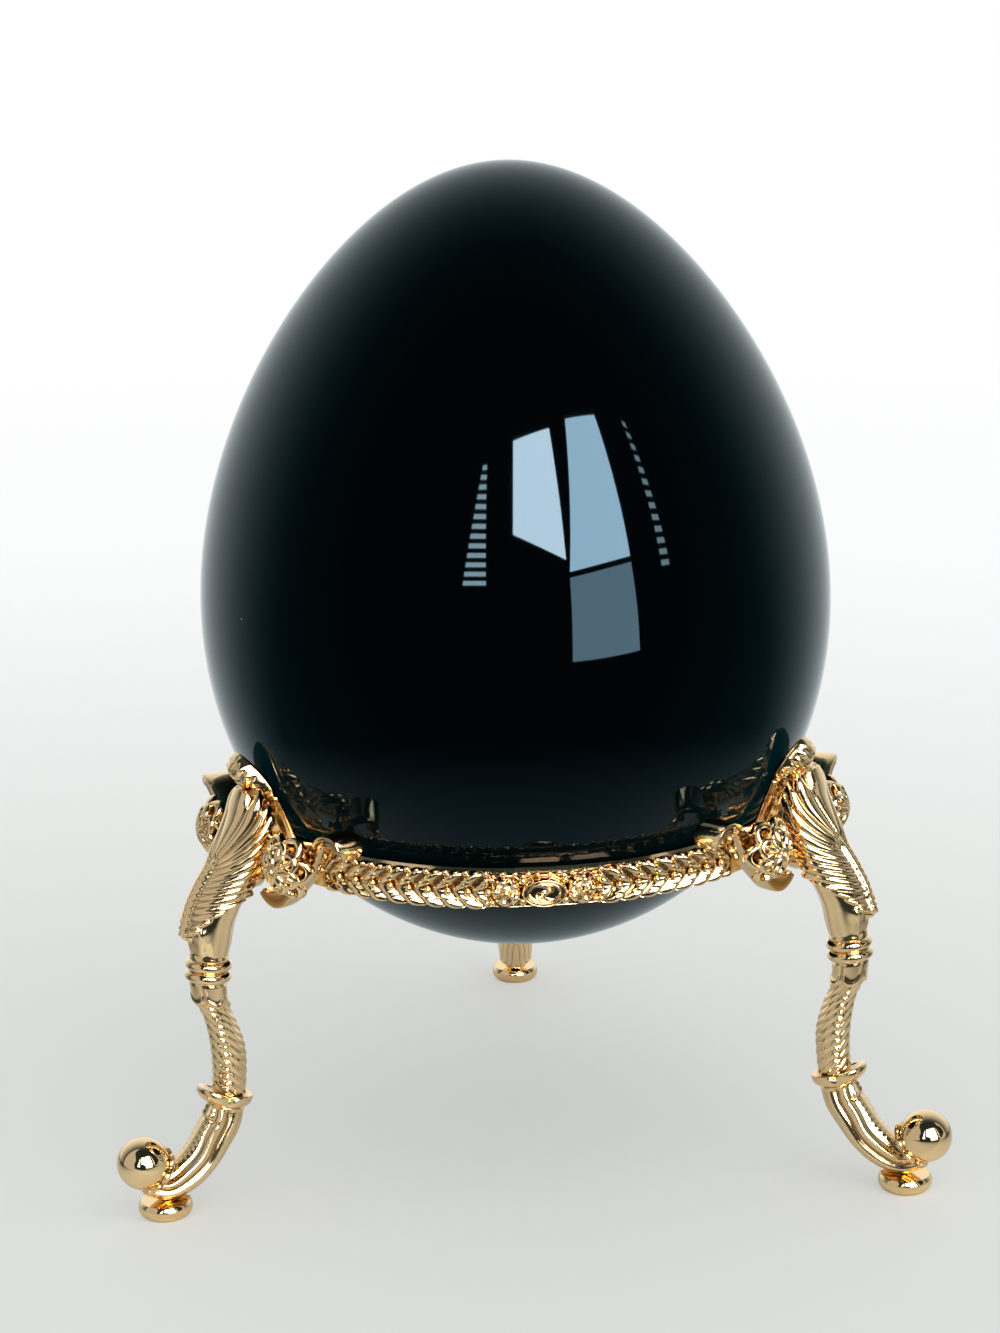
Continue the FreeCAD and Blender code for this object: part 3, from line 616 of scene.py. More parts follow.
# Rows of petals: the first one's turn, the reach, the lean, the way out, and the size.
PETAL_ROWS = ((0.5, 1.75, -0.42, 1.15, 0.88), (0.0, 2.55, -0.62, 0.25, 1.0))
FLORET_DISC_COLUMNS = 48
PETAL_STRETCH = 1.08
PETAL_COLUMNS = 26
HEART_REACH = 0.85
HEART_OUT = 2.0
HEART_BEAD_R = 0.40
HEART_MIDDLE_OUT = 2.15
HEART_MIDDLE_R = 0.6


def facing_out(outline, middle, columns, stretch=1.0, lean=0.0, turn=0.0):
    """A round form that faces outwards, from rows of its reach, height and painted shade."""
    rows = np.array(outline, float)
    girth = around(columns)
    out = rows[:, :1] * np.cos(girth) * stretch
    side = rows[:, :1] * np.sin(girth)
    height = rows[:, 1:2] + lean * out
    y = middle[1] + out * math.cos(turn) - side * math.sin(turn)
    z = middle[2] + out * math.sin(turn) + side * math.cos(turn)
    return skin(np.stack([middle[0] + height, y, z], -1), rows[:, 2:3] + 0 * girth)


def floret():
    middle = np.array([FLORET_BACK, FLORET_SIDE, FLORET_Z])
    skins = [bead(middle + (HEART_MIDDLE_OUT, 0, 0), HEART_MIDDLE_R)]
    for row, (start, reach, lean, lift, size) in enumerate(PETAL_ROWS):
        petal = np.array(PETAL) * (size, size, 1)
        for n in range(FLORET_PETALS):
            turn = 2 * math.pi * (n + start) / FLORET_PETALS
            c, s = math.cos(turn), math.sin(turn)
            place = middle + (lift, reach * c, reach * s)
            skins.append(facing_out(petal, place, PETAL_COLUMNS, PETAL_STRETCH, lean, turn))
            if row == 0:
                place = middle + (HEART_OUT, HEART_REACH * c, HEART_REACH * s)
                skins.append(bead(place, HEART_BEAD_R))
    skins.append(facing_out(FLORET_DISC, middle, FLORET_DISC_COLUMNS))
    back = SCROLL_BACK - FLORET_BACK + 0.05
    stem = ((0.3, 0.3, 0), (FLORET_STEM_R, 0.25, 0), (FLORET_STEM_R, back, 0), (0.3, back, 0))
    skins.append(facing_out(stem, middle, FLORET_STEM_COLUMNS))
    return skins


beside_each_leg("floret", moulded("floret", beside_leg(floret())))

# The crests: a pointed plume behind each leg, cast with the small block that it stands
# on. They lean outwards along the egg and keep it upright.
RING_TOP = 47.2
CREST_GAP = 0.35
CREST_THICK = 1.5
CREST_HEIGHT = 12.9
CREST_CURL = 1.0
CREST_CURL_DROP = 0.4
CREST_SWAY = 0.8
CREST_BEND_START = 6.5
CREST_DOME = 1.3
CREST_DOME_LENGTH = 6.2
# Half the width at each height over the ring.
CREST_OUTLINE = (
    (0.0, 3.3), (6.35, 3.3), (6.6, 3.2), (6.75, 2.5), (7.1, 2.5), (7.3, 3.05), (7.8, 3.2),
    (9.0, 3.1), (10.3, 2.75), (11.5, 2.05), (12.3, 1.25), (12.75, 0.5),
)
CREST_CORNERS = 0.5
CREST_ROWS = 150
CREST_COLUMNS = 72
CREST_TIERS = ((4.6, 0.22, 0.28), (5.9, 0.22, 0.2))
CREST_PANEL_EDGE = ((1.7, 0.12, 0.5),)
PLUME_START = 7.2
PLUME_BARB_PITCH = 1.75
PLUME_BARB_SLANT = 1.1
PLUME_BARB_POWER = 0.6
PLUME_BARB_HEIGHT = 0.44
PLUME_RIB_HEIGHT = 0.5
PLUME_RIB_WIDTH = 0.38
PLUME_BEAD_PITCH = 0.95
PLUME_BEAD_HEIGHT = 0.3


def beaded(value, pitch, power=1.0):
    """A row of small beads at a pitch."""
    return np.abs(np.cos(math.pi * value / pitch)) ** power


def crest_plane():
    """Where the crest's back starts at the ring's top, and its slope up the egg."""
    middle_z = RING_TOP + CREST_HEIGHT / 2
    slope = float(egg_radius(middle_z + 0.1) - egg_radius(middle_z - 0.1)) / 0.2
    start = float(egg_radius(middle_z)) + CREST_GAP * math.hypot(1, slope)
    return start - slope * CREST_HEIGHT / 2, slope


def crest():
    start, slope = crest_plane()
    top = CREST_OUTLINE[-1][0]
    height = np.linspace(0, top, CREST_ROWS)[:, None]
    half = np.interp(height, *np.array(CREST_OUTLINE).T)
    side, front = boxy(around(CREST_COLUMNS), CREST_CORNERS)
    across = side * half
    in_front = front > 0
    plume = eased(height, PLUME_START - 0.05, PLUME_START + 0.4)
    face = in_front * np.clip(1 - np.abs(side) ** 12, 0, 1)
    place = (height - PLUME_START - PLUME_BARB_SLANT * np.abs(across)) / PLUME_BARB_PITCH
    rib = bell(across, PLUME_RIB_WIDTH)
    beads = bell(half - np.abs(across) - 0.35, 0.28) * beaded(height, PLUME_BEAD_PITCH)
    relief = PLUME_BARB_HEIGHT * ridged(place, PLUME_BARB_POWER) * (1 - rib)
    relief = plume * (relief + PLUME_RIB_HEIGHT * rib + PLUME_BEAD_HEIGHT * beads)
    panel = ridges(height, CREST_TIERS) + ridges(np.abs(across), CREST_PANEL_EDGE)
    relief = relief + (1 - plume) * panel
    rise = np.clip((height - PLUME_START + 0.2) / CREST_DOME_LENGTH, 0, 1)
    dome = np.sin(math.pi * rise) ** 0.8 * (1 - 0.85 * side ** 2)
    depth = CREST_THICK - 0.35 + (relief - 0.1) * face + CREST_DOME * dome * in_front
    thin = np.clip((top - height) / 1.2, 0, 1) ** 0.5
    out = np.maximum(front, 0) * depth * thin
    # Painted shade between the plume's barbs.
    painted_shade = face * plume * np.clip(1 - relief / 0.2, 0, 1)
    lean = math.atan(slope)
    bend = np.clip((height - CREST_BEND_START) / (top - CREST_BEND_START), 0, 1)
    curl = CREST_CURL * bend ** 2
    x = start + out * math.cos(lean) + height * math.sin(lean) + curl
    y = across - CREST_SWAY * bend
    z = RING_TOP + height * math.cos(lean) - out * math.sin(lean) - CREST_CURL_DROP * curl
    return skin(np.stack([x, y, np.maximum(z, RING_TOP)], -1), painted_shade)


def on_each_leg(kind, name, mesh):
    """Sets a casting on each leg."""
    for turn, leg in LEGS.items():
        fitted(f"{name}_{leg}", mesh, cast_gilding, "gilt", "stand", f"{kind}_{leg}", turn=turn)


on_each_leg("crest", "plume", moulded("crest", [crest()]))

# The knees: the top of each leg, cast as an upright acanthus leaf over a smooth neck. A
# boss on the inner side is screwed to the ring's lug from inside.
LUG_FACE_R = 39.6
LUG_WIDTH = 4.0
LUG_HEIGHT = 4.6
BOSS_DEPTH = 2.5
BOSS_CORNERS = 0.35
BOSS_COLUMNS = 40
AXIS_R = 46.9
KNEE_FOOT = 32.8
KNEE_RISE = 21.4
KNEE_DEPTH = 6.9
KNEE_WIDTH = 8.2
KNEE_BEND = 8.8
KNEE_ROWS = 260
KNEE_COLUMNS = 176
KNEE_SINK = 0.30
LEG_LEAN_DEG = 7.0
COLLAR_HEIGHT = 2.9
# Stations: how far up, how far inwards, the lean, and half the depth and width.
KNEE_STATIONS = (
    (0.00, 0.000, 0.000, 0.74, 0.62),
    (0.11, 0.010, 0.022, 0.90, 0.76),
    (0.24, 0.050, 0.100, 0.97, 0.86),
    (0.38, 0.215, 0.180, 0.94, 0.95),
    (0.53, 0.440, 0.200, 0.86, 1.00),
    (0.68, 0.610, 0.130, 0.80, 1.00),
    (0.83, 0.710, -0.020, 0.68, 0.94),
    (0.94, 0.710, -0.050, 0.50, 0.80),
    (1.00, 0.690, -0.050, 0.30, 0.52),
)
LEAF_GAP = 0.4
LEAF_TIP = 3.0
LEAF_THICK = 0.26
LEAF_WRAP_DEG = 124
LEAF_EDGE_RISE = 1.45
LEAF_SWAY = 0.9
LEAF_SWAY_START = 8
LEAF_NOTCH = 1.3
LEAF_VEINS = 13.5
VEIN_POWER = 0.55
VEIN_HEIGHT = 0.22
VEIN_FAN_HEIGHT = 0.26
# Veins: the share of them all, where each leaves the rib, and its slope.
VEINS = (
    (0.0, 0.0, 24.0), (0.3, 3.2, 36.0), (0.55, 5.8, 48.0), (0.667, 7.0, 57.0),
    (0.741, 7.6, 64.5), (0.815, 8.0, 71.5), (0.889, 8.3, 79.0), (0.963, 8.5, 86.2),
    (1.0, 8.6, 89.6),
)
LOBE_EDGE = ((0.75, 0.26, 0.5),)
LOBE_SIDE = ((13, 0.30, 8),)
KNEE_RIB = ((0.0, 0.42, 0.42), (0.85, -0.30, 0.2))
KNEE_TIP = ((0.5, 0.42, 0.8),)
NECK_FLUTES = 9
NECK_FLUTE_HEIGHT = 0.07


def spread(table, count):
    """A table of stations, drawn out on a smooth line to evenly spaced ones.

    The first two columns are the place, and the rest follow it."""
    rows = np.array(table, float)
    gaps = np.hypot(*np.diff(rows[:, :2], axis=0).T)
    at = np.concatenate([[0], np.cumsum(gaps)])
    slope = np.gradient(rows, at, axis=0)
    want = np.linspace(0, at[-1], count)
    low = np.clip(np.searchsorted(at, want, side="right") - 1, 0, len(at) - 2)
    gap = (at[low + 1] - at[low])[:, None]
    t = (want - at[low])[:, None] / gap
    return (
        rows[low] * (2 * t ** 3 - 3 * t ** 2 + 1)
        + slope[low] * gap * (t ** 3 - 2 * t ** 2 + t)
        + rows[low + 1] * (3 * t ** 2 - 2 * t ** 3)
        + slope[low + 1] * gap * (t ** 3 - t ** 2)
    ), want


def ovals(stations, columns):
    """Rings of points across a leg part. A station is its reach, its height, its lean
    in degrees, and half its depth and width."""
    reach, z, lean, deep, wide = [column[:, None] for column in stations.T]
    turn = around(columns, -math.pi)
    out = deep * np.cos(turn)
    lean = np.radians(lean)
    x = reach + out * np.cos(lean)
    return np.stack([x, wide * np.sin(turn), z + out * np.sin(lean)], -1), turn


def raised(rings, height):
    """The rings, with each point moved off the surface by its height."""
    down = np.gradient(rings, axis=0)
    sideways = np.roll(rings, -1, 1) - np.roll(rings, 1, 1)
    off = np.cross(sideways, down)
    off /= np.linalg.norm(off, axis=2, keepdims=True) + 1e-9
    outward = rings - rings.mean(1, keepdims=True)
    off *= np.sign((off * outward).sum(2).mean())
    return rings + off * height[..., None]


def vein_share(along, inward):
    """Which vein runs through each point of the leaf, as a share of all of them."""
    shares = np.linspace(-0.4, 1.0, 141)
    at, starts, degrees = np.array(VEINS).T
    starts = np.interp(shares, at, starts) + 14 * np.minimum(shares, 0)
    slopes = np.tan(np.radians(np.interp(shares, at, degrees)))
    lines = starts + inward[..., None] * slopes
    over = lines > along[..., None]
    high = np.where(over.any(-1), np.argmax(over, -1), len(shares) - 1)
    low = np.maximum(high - 1, 0)
    upper = np.take_along_axis(lines, high[..., None], -1)[..., 0]
    lower = np.take_along_axis(lines, low[..., None], -1)[..., 0]
    part = np.clip((along - lower) / (upper - lower + 1e-9), 0, 1)
    return shares[low] + part * (shares[high] - shares[low])


def boss():
    """The block behind the knee that meets the lug."""
    side, front = boxy(around(BOSS_COLUMNS), BOSS_CORNERS)
    reach = np.array([[0.0], [0.2], [BOSS_DEPTH]]) + LUG_FACE_R + 0 * side
    shrink = np.array([[0.94], [1.0], [1.0]])
    y = side * LUG_WIDTH / 2 * shrink
    z = RING_TOP - LUG_HEIGHT / 2 + front * LUG_HEIGHT / 2 * shrink
    return skin(np.stack([reach, y, z], -1))


def knee():
    lean_in = math.sin(math.radians(LEG_LEAN_DEG)) * COLLAR_HEIGHT / 2
    table = [
        (
            AXIS_R - inward * KNEE_BEND - lean_in,
            KNEE_FOOT + up * KNEE_RISE,
            LEG_LEAN_DEG + 90 * lean,
            depth * KNEE_DEPTH / 2,
            width * KNEE_WIDTH / 2,
        )
        for up, inward, lean, depth, width in KNEE_STATIONS
    ]
    stations, along = spread(table, KNEE_ROWS)
    rings, turn = ovals(stations, KNEE_COLUMNS)
    deep, wide = stations[:, 3:4], stations[:, 4:5]
    up = along[:, None] - LEAF_TIP
    inward = deep * (0.5 * (1 - np.cos(turn)) + 0.32 * np.abs(turn))
    share = vein_share(up, inward)
    ridge = ridged(LEAF_VEINS * share, VEIN_POWER)
    off_rib = np.abs(wide * np.sin(turn))
    in_front = np.cos(turn) > 0
    edge = up - LEAF_EDGE_RISE * inward + 0.6 * ridge
    wrap = LEAF_WRAP_DEG + 12 * ridge - np.degrees(np.abs(turn))
    leaf = eased(edge, -0.12, 0.18) * eased(wrap, 0, 7)
    away = np.where(in_front, eased(off_rib, 0.35, 0.95), 1.0)
    away = np.maximum(away, eased(up, 9.4, 10.6))
    plain = in_front * bell(up - 8.2, 1.3) * bell(off_rib, 1.2)
    veins = VEIN_HEIGHT + VEIN_FAN_HEIGHT * eased(share, 0.62, 0.9)
    veins = leaf * away * ridge * veins * (1 - 0.85 * plain)
    lobes = ridges(edge, LOBE_EDGE) + ridges(wrap, LOBE_SIDE) * eased(up, 3.0, 6.0)
    stem = in_front * eased(up, -0.9, 0.2) * (1 - eased(up, 8.0, 10.0))
    tip = ridges(up, KNEE_TIP) * eased(np.cos(turn), 0.3, 0.8)
    tip = tip * (0.45 + 0.55 * np.cos(3.5 * turn) ** 2)
    flutes = NECK_FLUTE_HEIGHT * np.cos(NECK_FLUTES * turn) * (1 - leaf)
    flutes = flutes * eased(along[:, None], 0.3, 1.2)
    height = LEAF_THICK * leaf + veins + leaf * lobes * ridge + stem * ridges(off_rib, KNEE_RIB)
    height = height + tip + flutes - KNEE_SINK
    fade = eased(along[:, None], 0.0, 0.8)
    rings = raised(rings, height * fade - 0.05 * (1 - fade))
    rings[..., 2] -= LEAF_NOTCH * (1 - ridge) * eased(along[:, None], along[-1] - 3, along[-1])
    sway = eased(rings[..., 2], KNEE_FOOT + LEAF_SWAY_START, KNEE_FOOT + KNEE_RISE)
    rings[..., 1] += LEAF_SWAY * sway
    # Painted shade in the grooves between the leaf's veins.
    vein_groove_shade = leaf * away * np.clip(1 - ridge / 0.6, 0, 1) * (1 - plain)
    start, slope = crest_plane()
    crest_front = start + CREST_THICK * math.hypot(1, slope) + LEAF_GAP
    over = rings[..., 2] - RING_TOP
    limit = np.where(over > 0, crest_front + slope * over, LUG_FACE_R)
    rings[..., 0] = np.maximum(rings[..., 0], limit)
    return [skin(rings, vein_groove_shade), boss()]


on_each_leg("knee", "acanthus", moulded("knee", knee()))

# The collars: a double round collar between each knee and shank, turned in brass and
# gilt as smoothly as the ring.
for leg_name in LEGS.values():
    refinish(f"collar_{leg_name}", smooth_gilding)

# The shanks: the slim middle of each leg. Short petals hang from the collar, and below
# them a feather wraps the leg, with a beaded line down its front.
SHANK_TOP_R = 2.3
SHANK_FOOT_R = 2.15
SHANK_ROWS = 190
SHANK_COLUMNS = 96
SHANK_SINK = 0.14
# How dark the painted shade on the shank is.
SHANK_PAINTED_SHADE = 0.8
# Stations: how far down, how far inwards, the lean, and the thickness.
SHANK_STATIONS = (
    (0.00, 0.00, 0.00, 1.00),
    (0.16, 0.10, 0.43, 0.96),
    (0.36, 0.68, 1.12, 0.99),
    (0.60, 1.08, 0.22, 1.02),
    (0.82, 1.12, -0.55, 1.00),
    (1.00, 1.00, 1.00, 1.00),
)
LIP_AXIS_R = 45.15
LIP_Z = 13.5
LIP_LEAN_DEG = 16.0
LIP_THICK = 1.5
BARB_PITCH = 1.3
BARB_SLANT = 0.75
BARB_POWER = 0.7
BARB_HEIGHT = 0.20
BEAD_LINE = 0.95
BEAD_LINE_WIDTH = 0.13
BEAD_LINE_PITCH = 0.95
BEAD_LINE_HEIGHT = 0.30
HEM_PETALS = 5
HEM_LENGTH = 3.6
HEM_HEIGHT = 0.24
HEM_ROLL = ((0.6, 0.20, 0.5),)
HEM_SEAM = 0.34


def leaning(degrees):
    """A unit step up a leg that leans inwards, as reach and height."""
    return np.array([-math.sin(math.radians(degrees)), math.cos(math.radians(degrees))])


leg_axis = leaning(LEG_LEAN_DEG)
lip_axis = leaning(LIP_LEAN_DEG)
collar_top = np.array([AXIS_R + leg_axis[0] * COLLAR_HEIGHT / 2, KNEE_FOOT])
shank_top = collar_top - leg_axis * COLLAR_HEIGHT
lip_top = np.array([LIP_AXIS_R, LIP_Z]) + lip_axis * LIP_THICK / 2


def shank():
    fall = lip_top - shank_top
    table = [
        (
            shank_top[0] + inward * fall[0],
            shank_top[1] + down * fall[1],
            LEG_LEAN_DEG + (LIP_LEAN_DEG - LEG_LEAN_DEG) * lean,
            *[(SHANK_TOP_R + (SHANK_FOOT_R - SHANK_TOP_R) * down) * thick] * 2,
        )
        for down, inward, lean, thick in SHANK_STATIONS
    ]
    stations, along = spread(table, SHANK_ROWS)
    rings, turn = ovals(stations, SHANK_COLUMNS)
    down = along[:, None]
    girth = np.abs(turn) * SHANK_TOP_R
    barb = ridged((down - BARB_SLANT * girth) / BARB_PITCH, BARB_POWER)
    quill = 0.55 + 0.45 * np.cos(2 * math.pi * (girth / 1.9 - 0.35 * down)) ** 2
    lobes = np.abs(np.cos(HEM_PETALS / 2 * turn - 0.6))
    hem = HEM_LENGTH * (0.62 + 0.38 * lobes ** 0.7) - down
    petals = eased(hem, -0.05, 0.3)
    seam = np.clip(1 - lobes / 0.35, 0, 1)
    petal = HEM_HEIGHT + ridges(hem, HEM_ROLL) - HEM_SEAM * seam * eased(down, 0.8, 2.0)
    line = bell(np.abs(turn) - BEAD_LINE, BEAD_LINE_WIDTH)
    feather = BARB_HEIGHT * barb * quill * (1 - 0.8 * line)
    feather = feather + BEAD_LINE_HEIGHT * line * beaded(down, BEAD_LINE_PITCH, 1.2)
    ends = eased(down, 0.0, 0.5) * eased(along[-1] - down, 0.0, 0.8)
    height = petals * petal + (1 - petals) * feather - SHANK_SINK
    # Painted shade between the feather's barbs and in the seams between the petals.
    painted_shade = (1 - petals) * np.clip(1 - barb / 0.5, 0, 1) * (1 - line) * 0.7 + petals * seam
    return skin(raised(rings, height * ends), SHANK_PAINTED_SHADE * painted_shade * ends)


on_each_leg("shank", "feather", moulded("shank", [shank()]))

# The lips: a rounded flange under each shank, like a small spoon. Its tongue points
# outwards and curls up, and the rim is folded where the tongue begins.
LIP_R = 3.1
LIP_TONGUE = 1.15
LIP_TONGUE_WIDTH = 0.8
LIP_CURL = 0.5
LIP_BACK_CURL = 0.35
LIP_FOLD_AT = 1.15
LIP_FOLD_WIDTH = 0.16
LIP_FOLD_IN = 0.42
LIP_FOLD_DOWN = 0.30
LIP_TOP_LIMIT = 0.75
# Painted shade: a dark ring on the lip's top, by its place, darkness and width.
LIP_PAINTED_SHADE = ((0.62, 0.5, 0.1),)
LIP_ROWS = 44
LIP_COLUMNS = 96
# The share of the reach and the height, from the middle over the rim to the underside.
LIP_PROFILE = (
    (0.30, -0.30), (0.60, -0.22), (0.74, -0.10), (0.86, 0.10), (0.94, 0.08), (0.99, -0.12),
    (1.00, -0.45), (0.985, -0.80), (0.93, -1.12), (0.82, -1.36), (0.66, -1.50), (0.40, -1.5),
)


def lip():
    rows, _ = spread(LIP_PROFILE, LIP_ROWS)
    share, level = rows[:, :1], rows[:, 1:2]
    turn = around(LIP_COLUMNS, -math.pi)
    tongue = np.exp(-(turn / LIP_TONGUE_WIDTH) ** 4)
    fold = bell(np.abs(turn) - LIP_FOLD_AT, LIP_FOLD_WIDTH)
    curl = LIP_CURL * tongue + LIP_BACK_CURL * eased(np.abs(turn), 1.3, 1.9)
    out = share * (LIP_R + LIP_TONGUE * tongue - LIP_FOLD_IN * fold)
    up = level + curl * share ** 3 - LIP_FOLD_DOWN * fold * eased(share, 0.6, 0.95)
    up = np.minimum(up, LIP_TOP_LIMIT)
    front = out * np.cos(turn)
    x = lip_top[0] + front * lip_axis[1] + up * lip_axis[0]
    z = lip_top[1] - front * lip_axis[0] + up * lip_axis[1]
    # Painted shade in a ring on the lip's top.
    painted_shade = ridges(share, LIP_PAINTED_SHADE) * (level > -0.4) + 0 * turn
    return skin(np.stack([x, out * np.sin(turn), z], -1), painted_shade)


on_each_leg("lip", "spoon", moulded("lip", [lip()]))

# The feet: each sweeps down and outwards from the lip, like a rolled leaf. A wavy rib
# runs along each side, flutes line the underside, and the end is a cup for the ball.
FOOT_OUT = 11.8
FOOT_THICK = 5.2
FOOT_END_Z = 4.7
FOOT_END_LEAN_DEG = 106.0
FOOT_ROWS = 190
FOOT_COLUMNS = 112
FOOT_SINK = 0.2
# Stations: how far out, how far down, the lean, and the thickness.
FOOT_STATIONS = (
    (0.00, 0.000, 0.000, 0.90),
    (0.05, 0.190, 0.122, 0.98),
    (0.20, 0.520, 0.252, 1.00),
    (0.36, 0.790, 0.382, 1.00),
    (0.57, 1.000, 0.562, 0.96),
    (0.80, 1.080, 0.782, 0.84),
    (1.00, 1.000, 1.000, 0.56),
)
FOOT_RIBS = ((0.0, 0.44, 0.21), (0.42, -0.26, 0.15), (-0.36, -0.16, 0.13), (0.82, 0.24, 0.17))
FOOT_RIB_WAVE = 6.0
FOOT_FLUTE_PITCH = 0.34
FOOT_FLUTE_HEIGHT = 0.13
FOOT_BEADS = ((0.36, 0.09, 0.10),)
FOOT_BEAD_PITCH = 0.9
FOOT_LOBE = ((0.45, 0.3, 0.28),)
FOOT_NOTCH = ((2.7, 0.2, 0.3),)
# How dark the painted shade on the foot is.
FOOT_PAINTED_SHADE = 0.8
BALL_R = 3.35
BALL_AT = np.array([57.35, 0.0, 7.55])
BALL_FILM = 0.05
PAD_TOP = 2.0
CUP_DEG = 56.0
CUP_THICK = 0.55
CUP_RIM = ((0.9, 0.20, 0.08),)
CUP_LOBES = 7
CUP_COLUMNS = 84
CUP_AXIS = np.array([-0.80, 0.0, -0.60])


def clear_of_ball(points):
    """Points kept out of the ball's room and off the pad."""
    away = points - BALL_AT
    far = np.linalg.norm(away, axis=-1, keepdims=True)
    room = BALL_R + BALL_FILM
    points = np.where(far < room, BALL_AT + away / np.maximum(far, 1e-6) * room, points)
    points[..., 2] = np.maximum(points[..., 2], PAD_TOP + BALL_FILM)
    return points


def cup():
    """The leaf-edged cup that holds the ball."""
    turn = around(CUP_COLUMNS)
    lobes = np.abs(np.cos(CUP_LOBES / 2 * turn))
    share = np.linspace(0.08, 1, 22)[:, None]
    tip = np.radians(CUP_DEG) * (0.86 + 0.14 * lobes ** 0.8)
    lift = CUP_THICK * (1 - 0.55 * share ** 2) + 0.16 * lobes * share + ridges(share, CUP_RIM)
    inner = np.linspace(1, 0.3, 6)[:, None] * tip
    angle = np.concatenate([share * tip, inner])[..., None]
    radius = BALL_R + BALL_FILM + np.concatenate([lift, 0 * inner])[..., None]
    # Painted shade between the cup's lobes.
    painted_shade = np.concatenate([(1 - lobes) * share * 0.8, 0 * inner])
    across = np.array([0.0, 1.0, 0.0])
    over = np.cross(CUP_AXIS, across)
    outward = np.cos(turn)[..., None] * across + np.sin(turn)[..., None] * over
    points = BALL_AT + radius * (np.cos(angle) * CUP_AXIS + np.sin(angle) * outward)
    points[..., 2] = np.maximum(points[..., 2], PAD_TOP + BALL_FILM)
    return skin(points, painted_shade)


def foot():
    start = lip_top - lip_axis * LIP_THICK
    table = [
        (
            start[0] + out * FOOT_OUT,
            start[1] - down * (start[1] - FOOT_END_Z),
            LIP_LEAN_DEG + (FOOT_END_LEAN_DEG - LIP_LEAN_DEG) * lean,
            *[thick * FOOT_THICK / 2] * 2,
        )
        for out, down, lean, thick in FOOT_STATIONS
    ]
    stations, along = spread(table, FOOT_ROWS)
    rings, turn = ovals(stations, FOOT_COLUMNS)
    down = along[:, None]
    girth = np.abs(turn)
    line = 0.88 + 0.035 * np.sin(2 * math.pi * down / FOOT_RIB_WAVE) + 0.030 * down
    off = girth - line
    cell = (off - 0.9) / FOOT_FLUTE_PITCH + 0.20 * down
    flute = 1 - np.abs(2 * (cell - np.floor(cell)) - 1) ** 2
    under = eased(off, 0.85, 1.05)
    height = ridges(off, FOOT_RIBS) + FOOT_FLUTE_HEIGHT * under * flute
    height = height + ridges(girth, FOOT_BEADS) * beaded(down, FOOT_BEAD_PITCH)
    height = height + ridges(girth, FOOT_LOBE) * eased(2.6 - down, -0.2, 0.4)
    height = height - ridges(down, FOOT_NOTCH) * bell(girth - 0.5, 0.4) - FOOT_SINK
    ends = eased(down, 0.0, 0.6)
    # Painted shade in the flutes and in a line beside the rib.
    painted_shade = under * np.clip(1 - flute / 0.45, 0, 1) + bell(off - 0.4, 0.12)
    painted_shade = FOOT_PAINTED_SHADE * np.clip(painted_shade * ends, 0, 1)
    return [skin(clear_of_ball(raised(rings, height * ends)), painted_shade), cup()]


on_each_leg("foot", "leaf_foot", moulded("foot", foot()))

# The balls and pads: a polished ball held in each foot's cup, and the round button that
# the foot stands on. The screws hold the legs to the ring from inside.
POLISHED_ROUGH = (0.03, 0.07)
POLISHED_GRAIN = 0.03
SCREW_ROUGH = (0.18, 0.32)
SCREW_GRAIN = 0.25

polished_gilding = gilding("polished_gilding", POLISHED_ROUGH, POLISHED_GRAIN)
for leg_name in LEGS.values():
    refinish(f"ball_{leg_name}", polished_gilding)
    refinish(f"pad_{leg_name}", smooth_gilding)
refinish("leg_screws", gilding("screw_brass", SCREW_ROUGH, SCREW_GRAIN))

# The floor: a pale, plain sheet, painted darker near the stand and paler away from it
# as the light falls, that turns to white far from the stand. It keeps the stand's soft
# shadow, lightened for the camera by a painted glow. Polished faces see the room in it
# instead, a step away from them.
WHITE = (1, 1, 1, 1)
FLOOR_R = 9000.0
FLOOR_CORNERS = 96
FLOOR_MIDDLE = (-70.0, -90.0)
# Painted shade and light: the floor is darker near the stand and paler away from it, as the
# light falls, fading on towards the white backdrop.
FLOOR_NEAR_PAINTED_SHADE = (0.70, 0.71, 0.69, 1)
FLOOR_FAR_PAINTED_LIGHT = (0.92, 0.93, 0.92, 1)
FLOOR_PAINTED_FALLOFF_M = (0.10, 0.50)
FLOOR_ROUGH = 0.6
FLOOR_SHINE = 0.2
# Painted glow: near the stand the camera sees the floor half as an even glow, which lightens
# the stand's shadow; far off it is all glow and turns white.
FLOOR_PAINTED_GLOW = (0.80, 0.815, 0.785, 1)
FLOOR_PAINTED_GLOW_SHARE = 0.5
FLOOR_PAINTED_GLOW_FADE_M = (0.14, 0.90)
FLOOR_ROOM_FADE_M = (0.05, 0.14)
ROOM_STEPS = (
    (0.0, 0.03), (0.42, 0.03), (0.52, 0.08), (0.60, 0.24), (0.70, 0.50), (0.79, 0.74),
    (0.87, 0.88), (0.95, 1.0),
)
ROOM_COOL = (1.12, 1.03, 1.0)


def room_level(tree, way):
    """How bright the room is in a direction, for a polished face: dark on the viewer's
    side and pale beyond the stand."""
    split = node(tree, "ShaderNodeSeparateXYZ", {0: way})
    ramp = node(tree, "ShaderNodeValToRGB", {"Fac": ranged(tree, split.outputs["Y"], -1, 1)})
    points = ramp.color_ramp.elements
    while len(points) < len(ROOM_STEPS):
        points.new(0.5)
    for point, (at, level) in zip(points, ROOM_STEPS):
        point.position = at
        point.color = (*[level ** power for power in ROOM_COOL], 1)
    return ramp.outputs["Color"]


def shared(tree, share, one, other):
    """One shader, or the other where the share is 1."""
    inputs = {0: share, 1: one.outputs[0], 2: other.outputs[0]}
    return node(tree, "ShaderNodeMixShader", inputs)


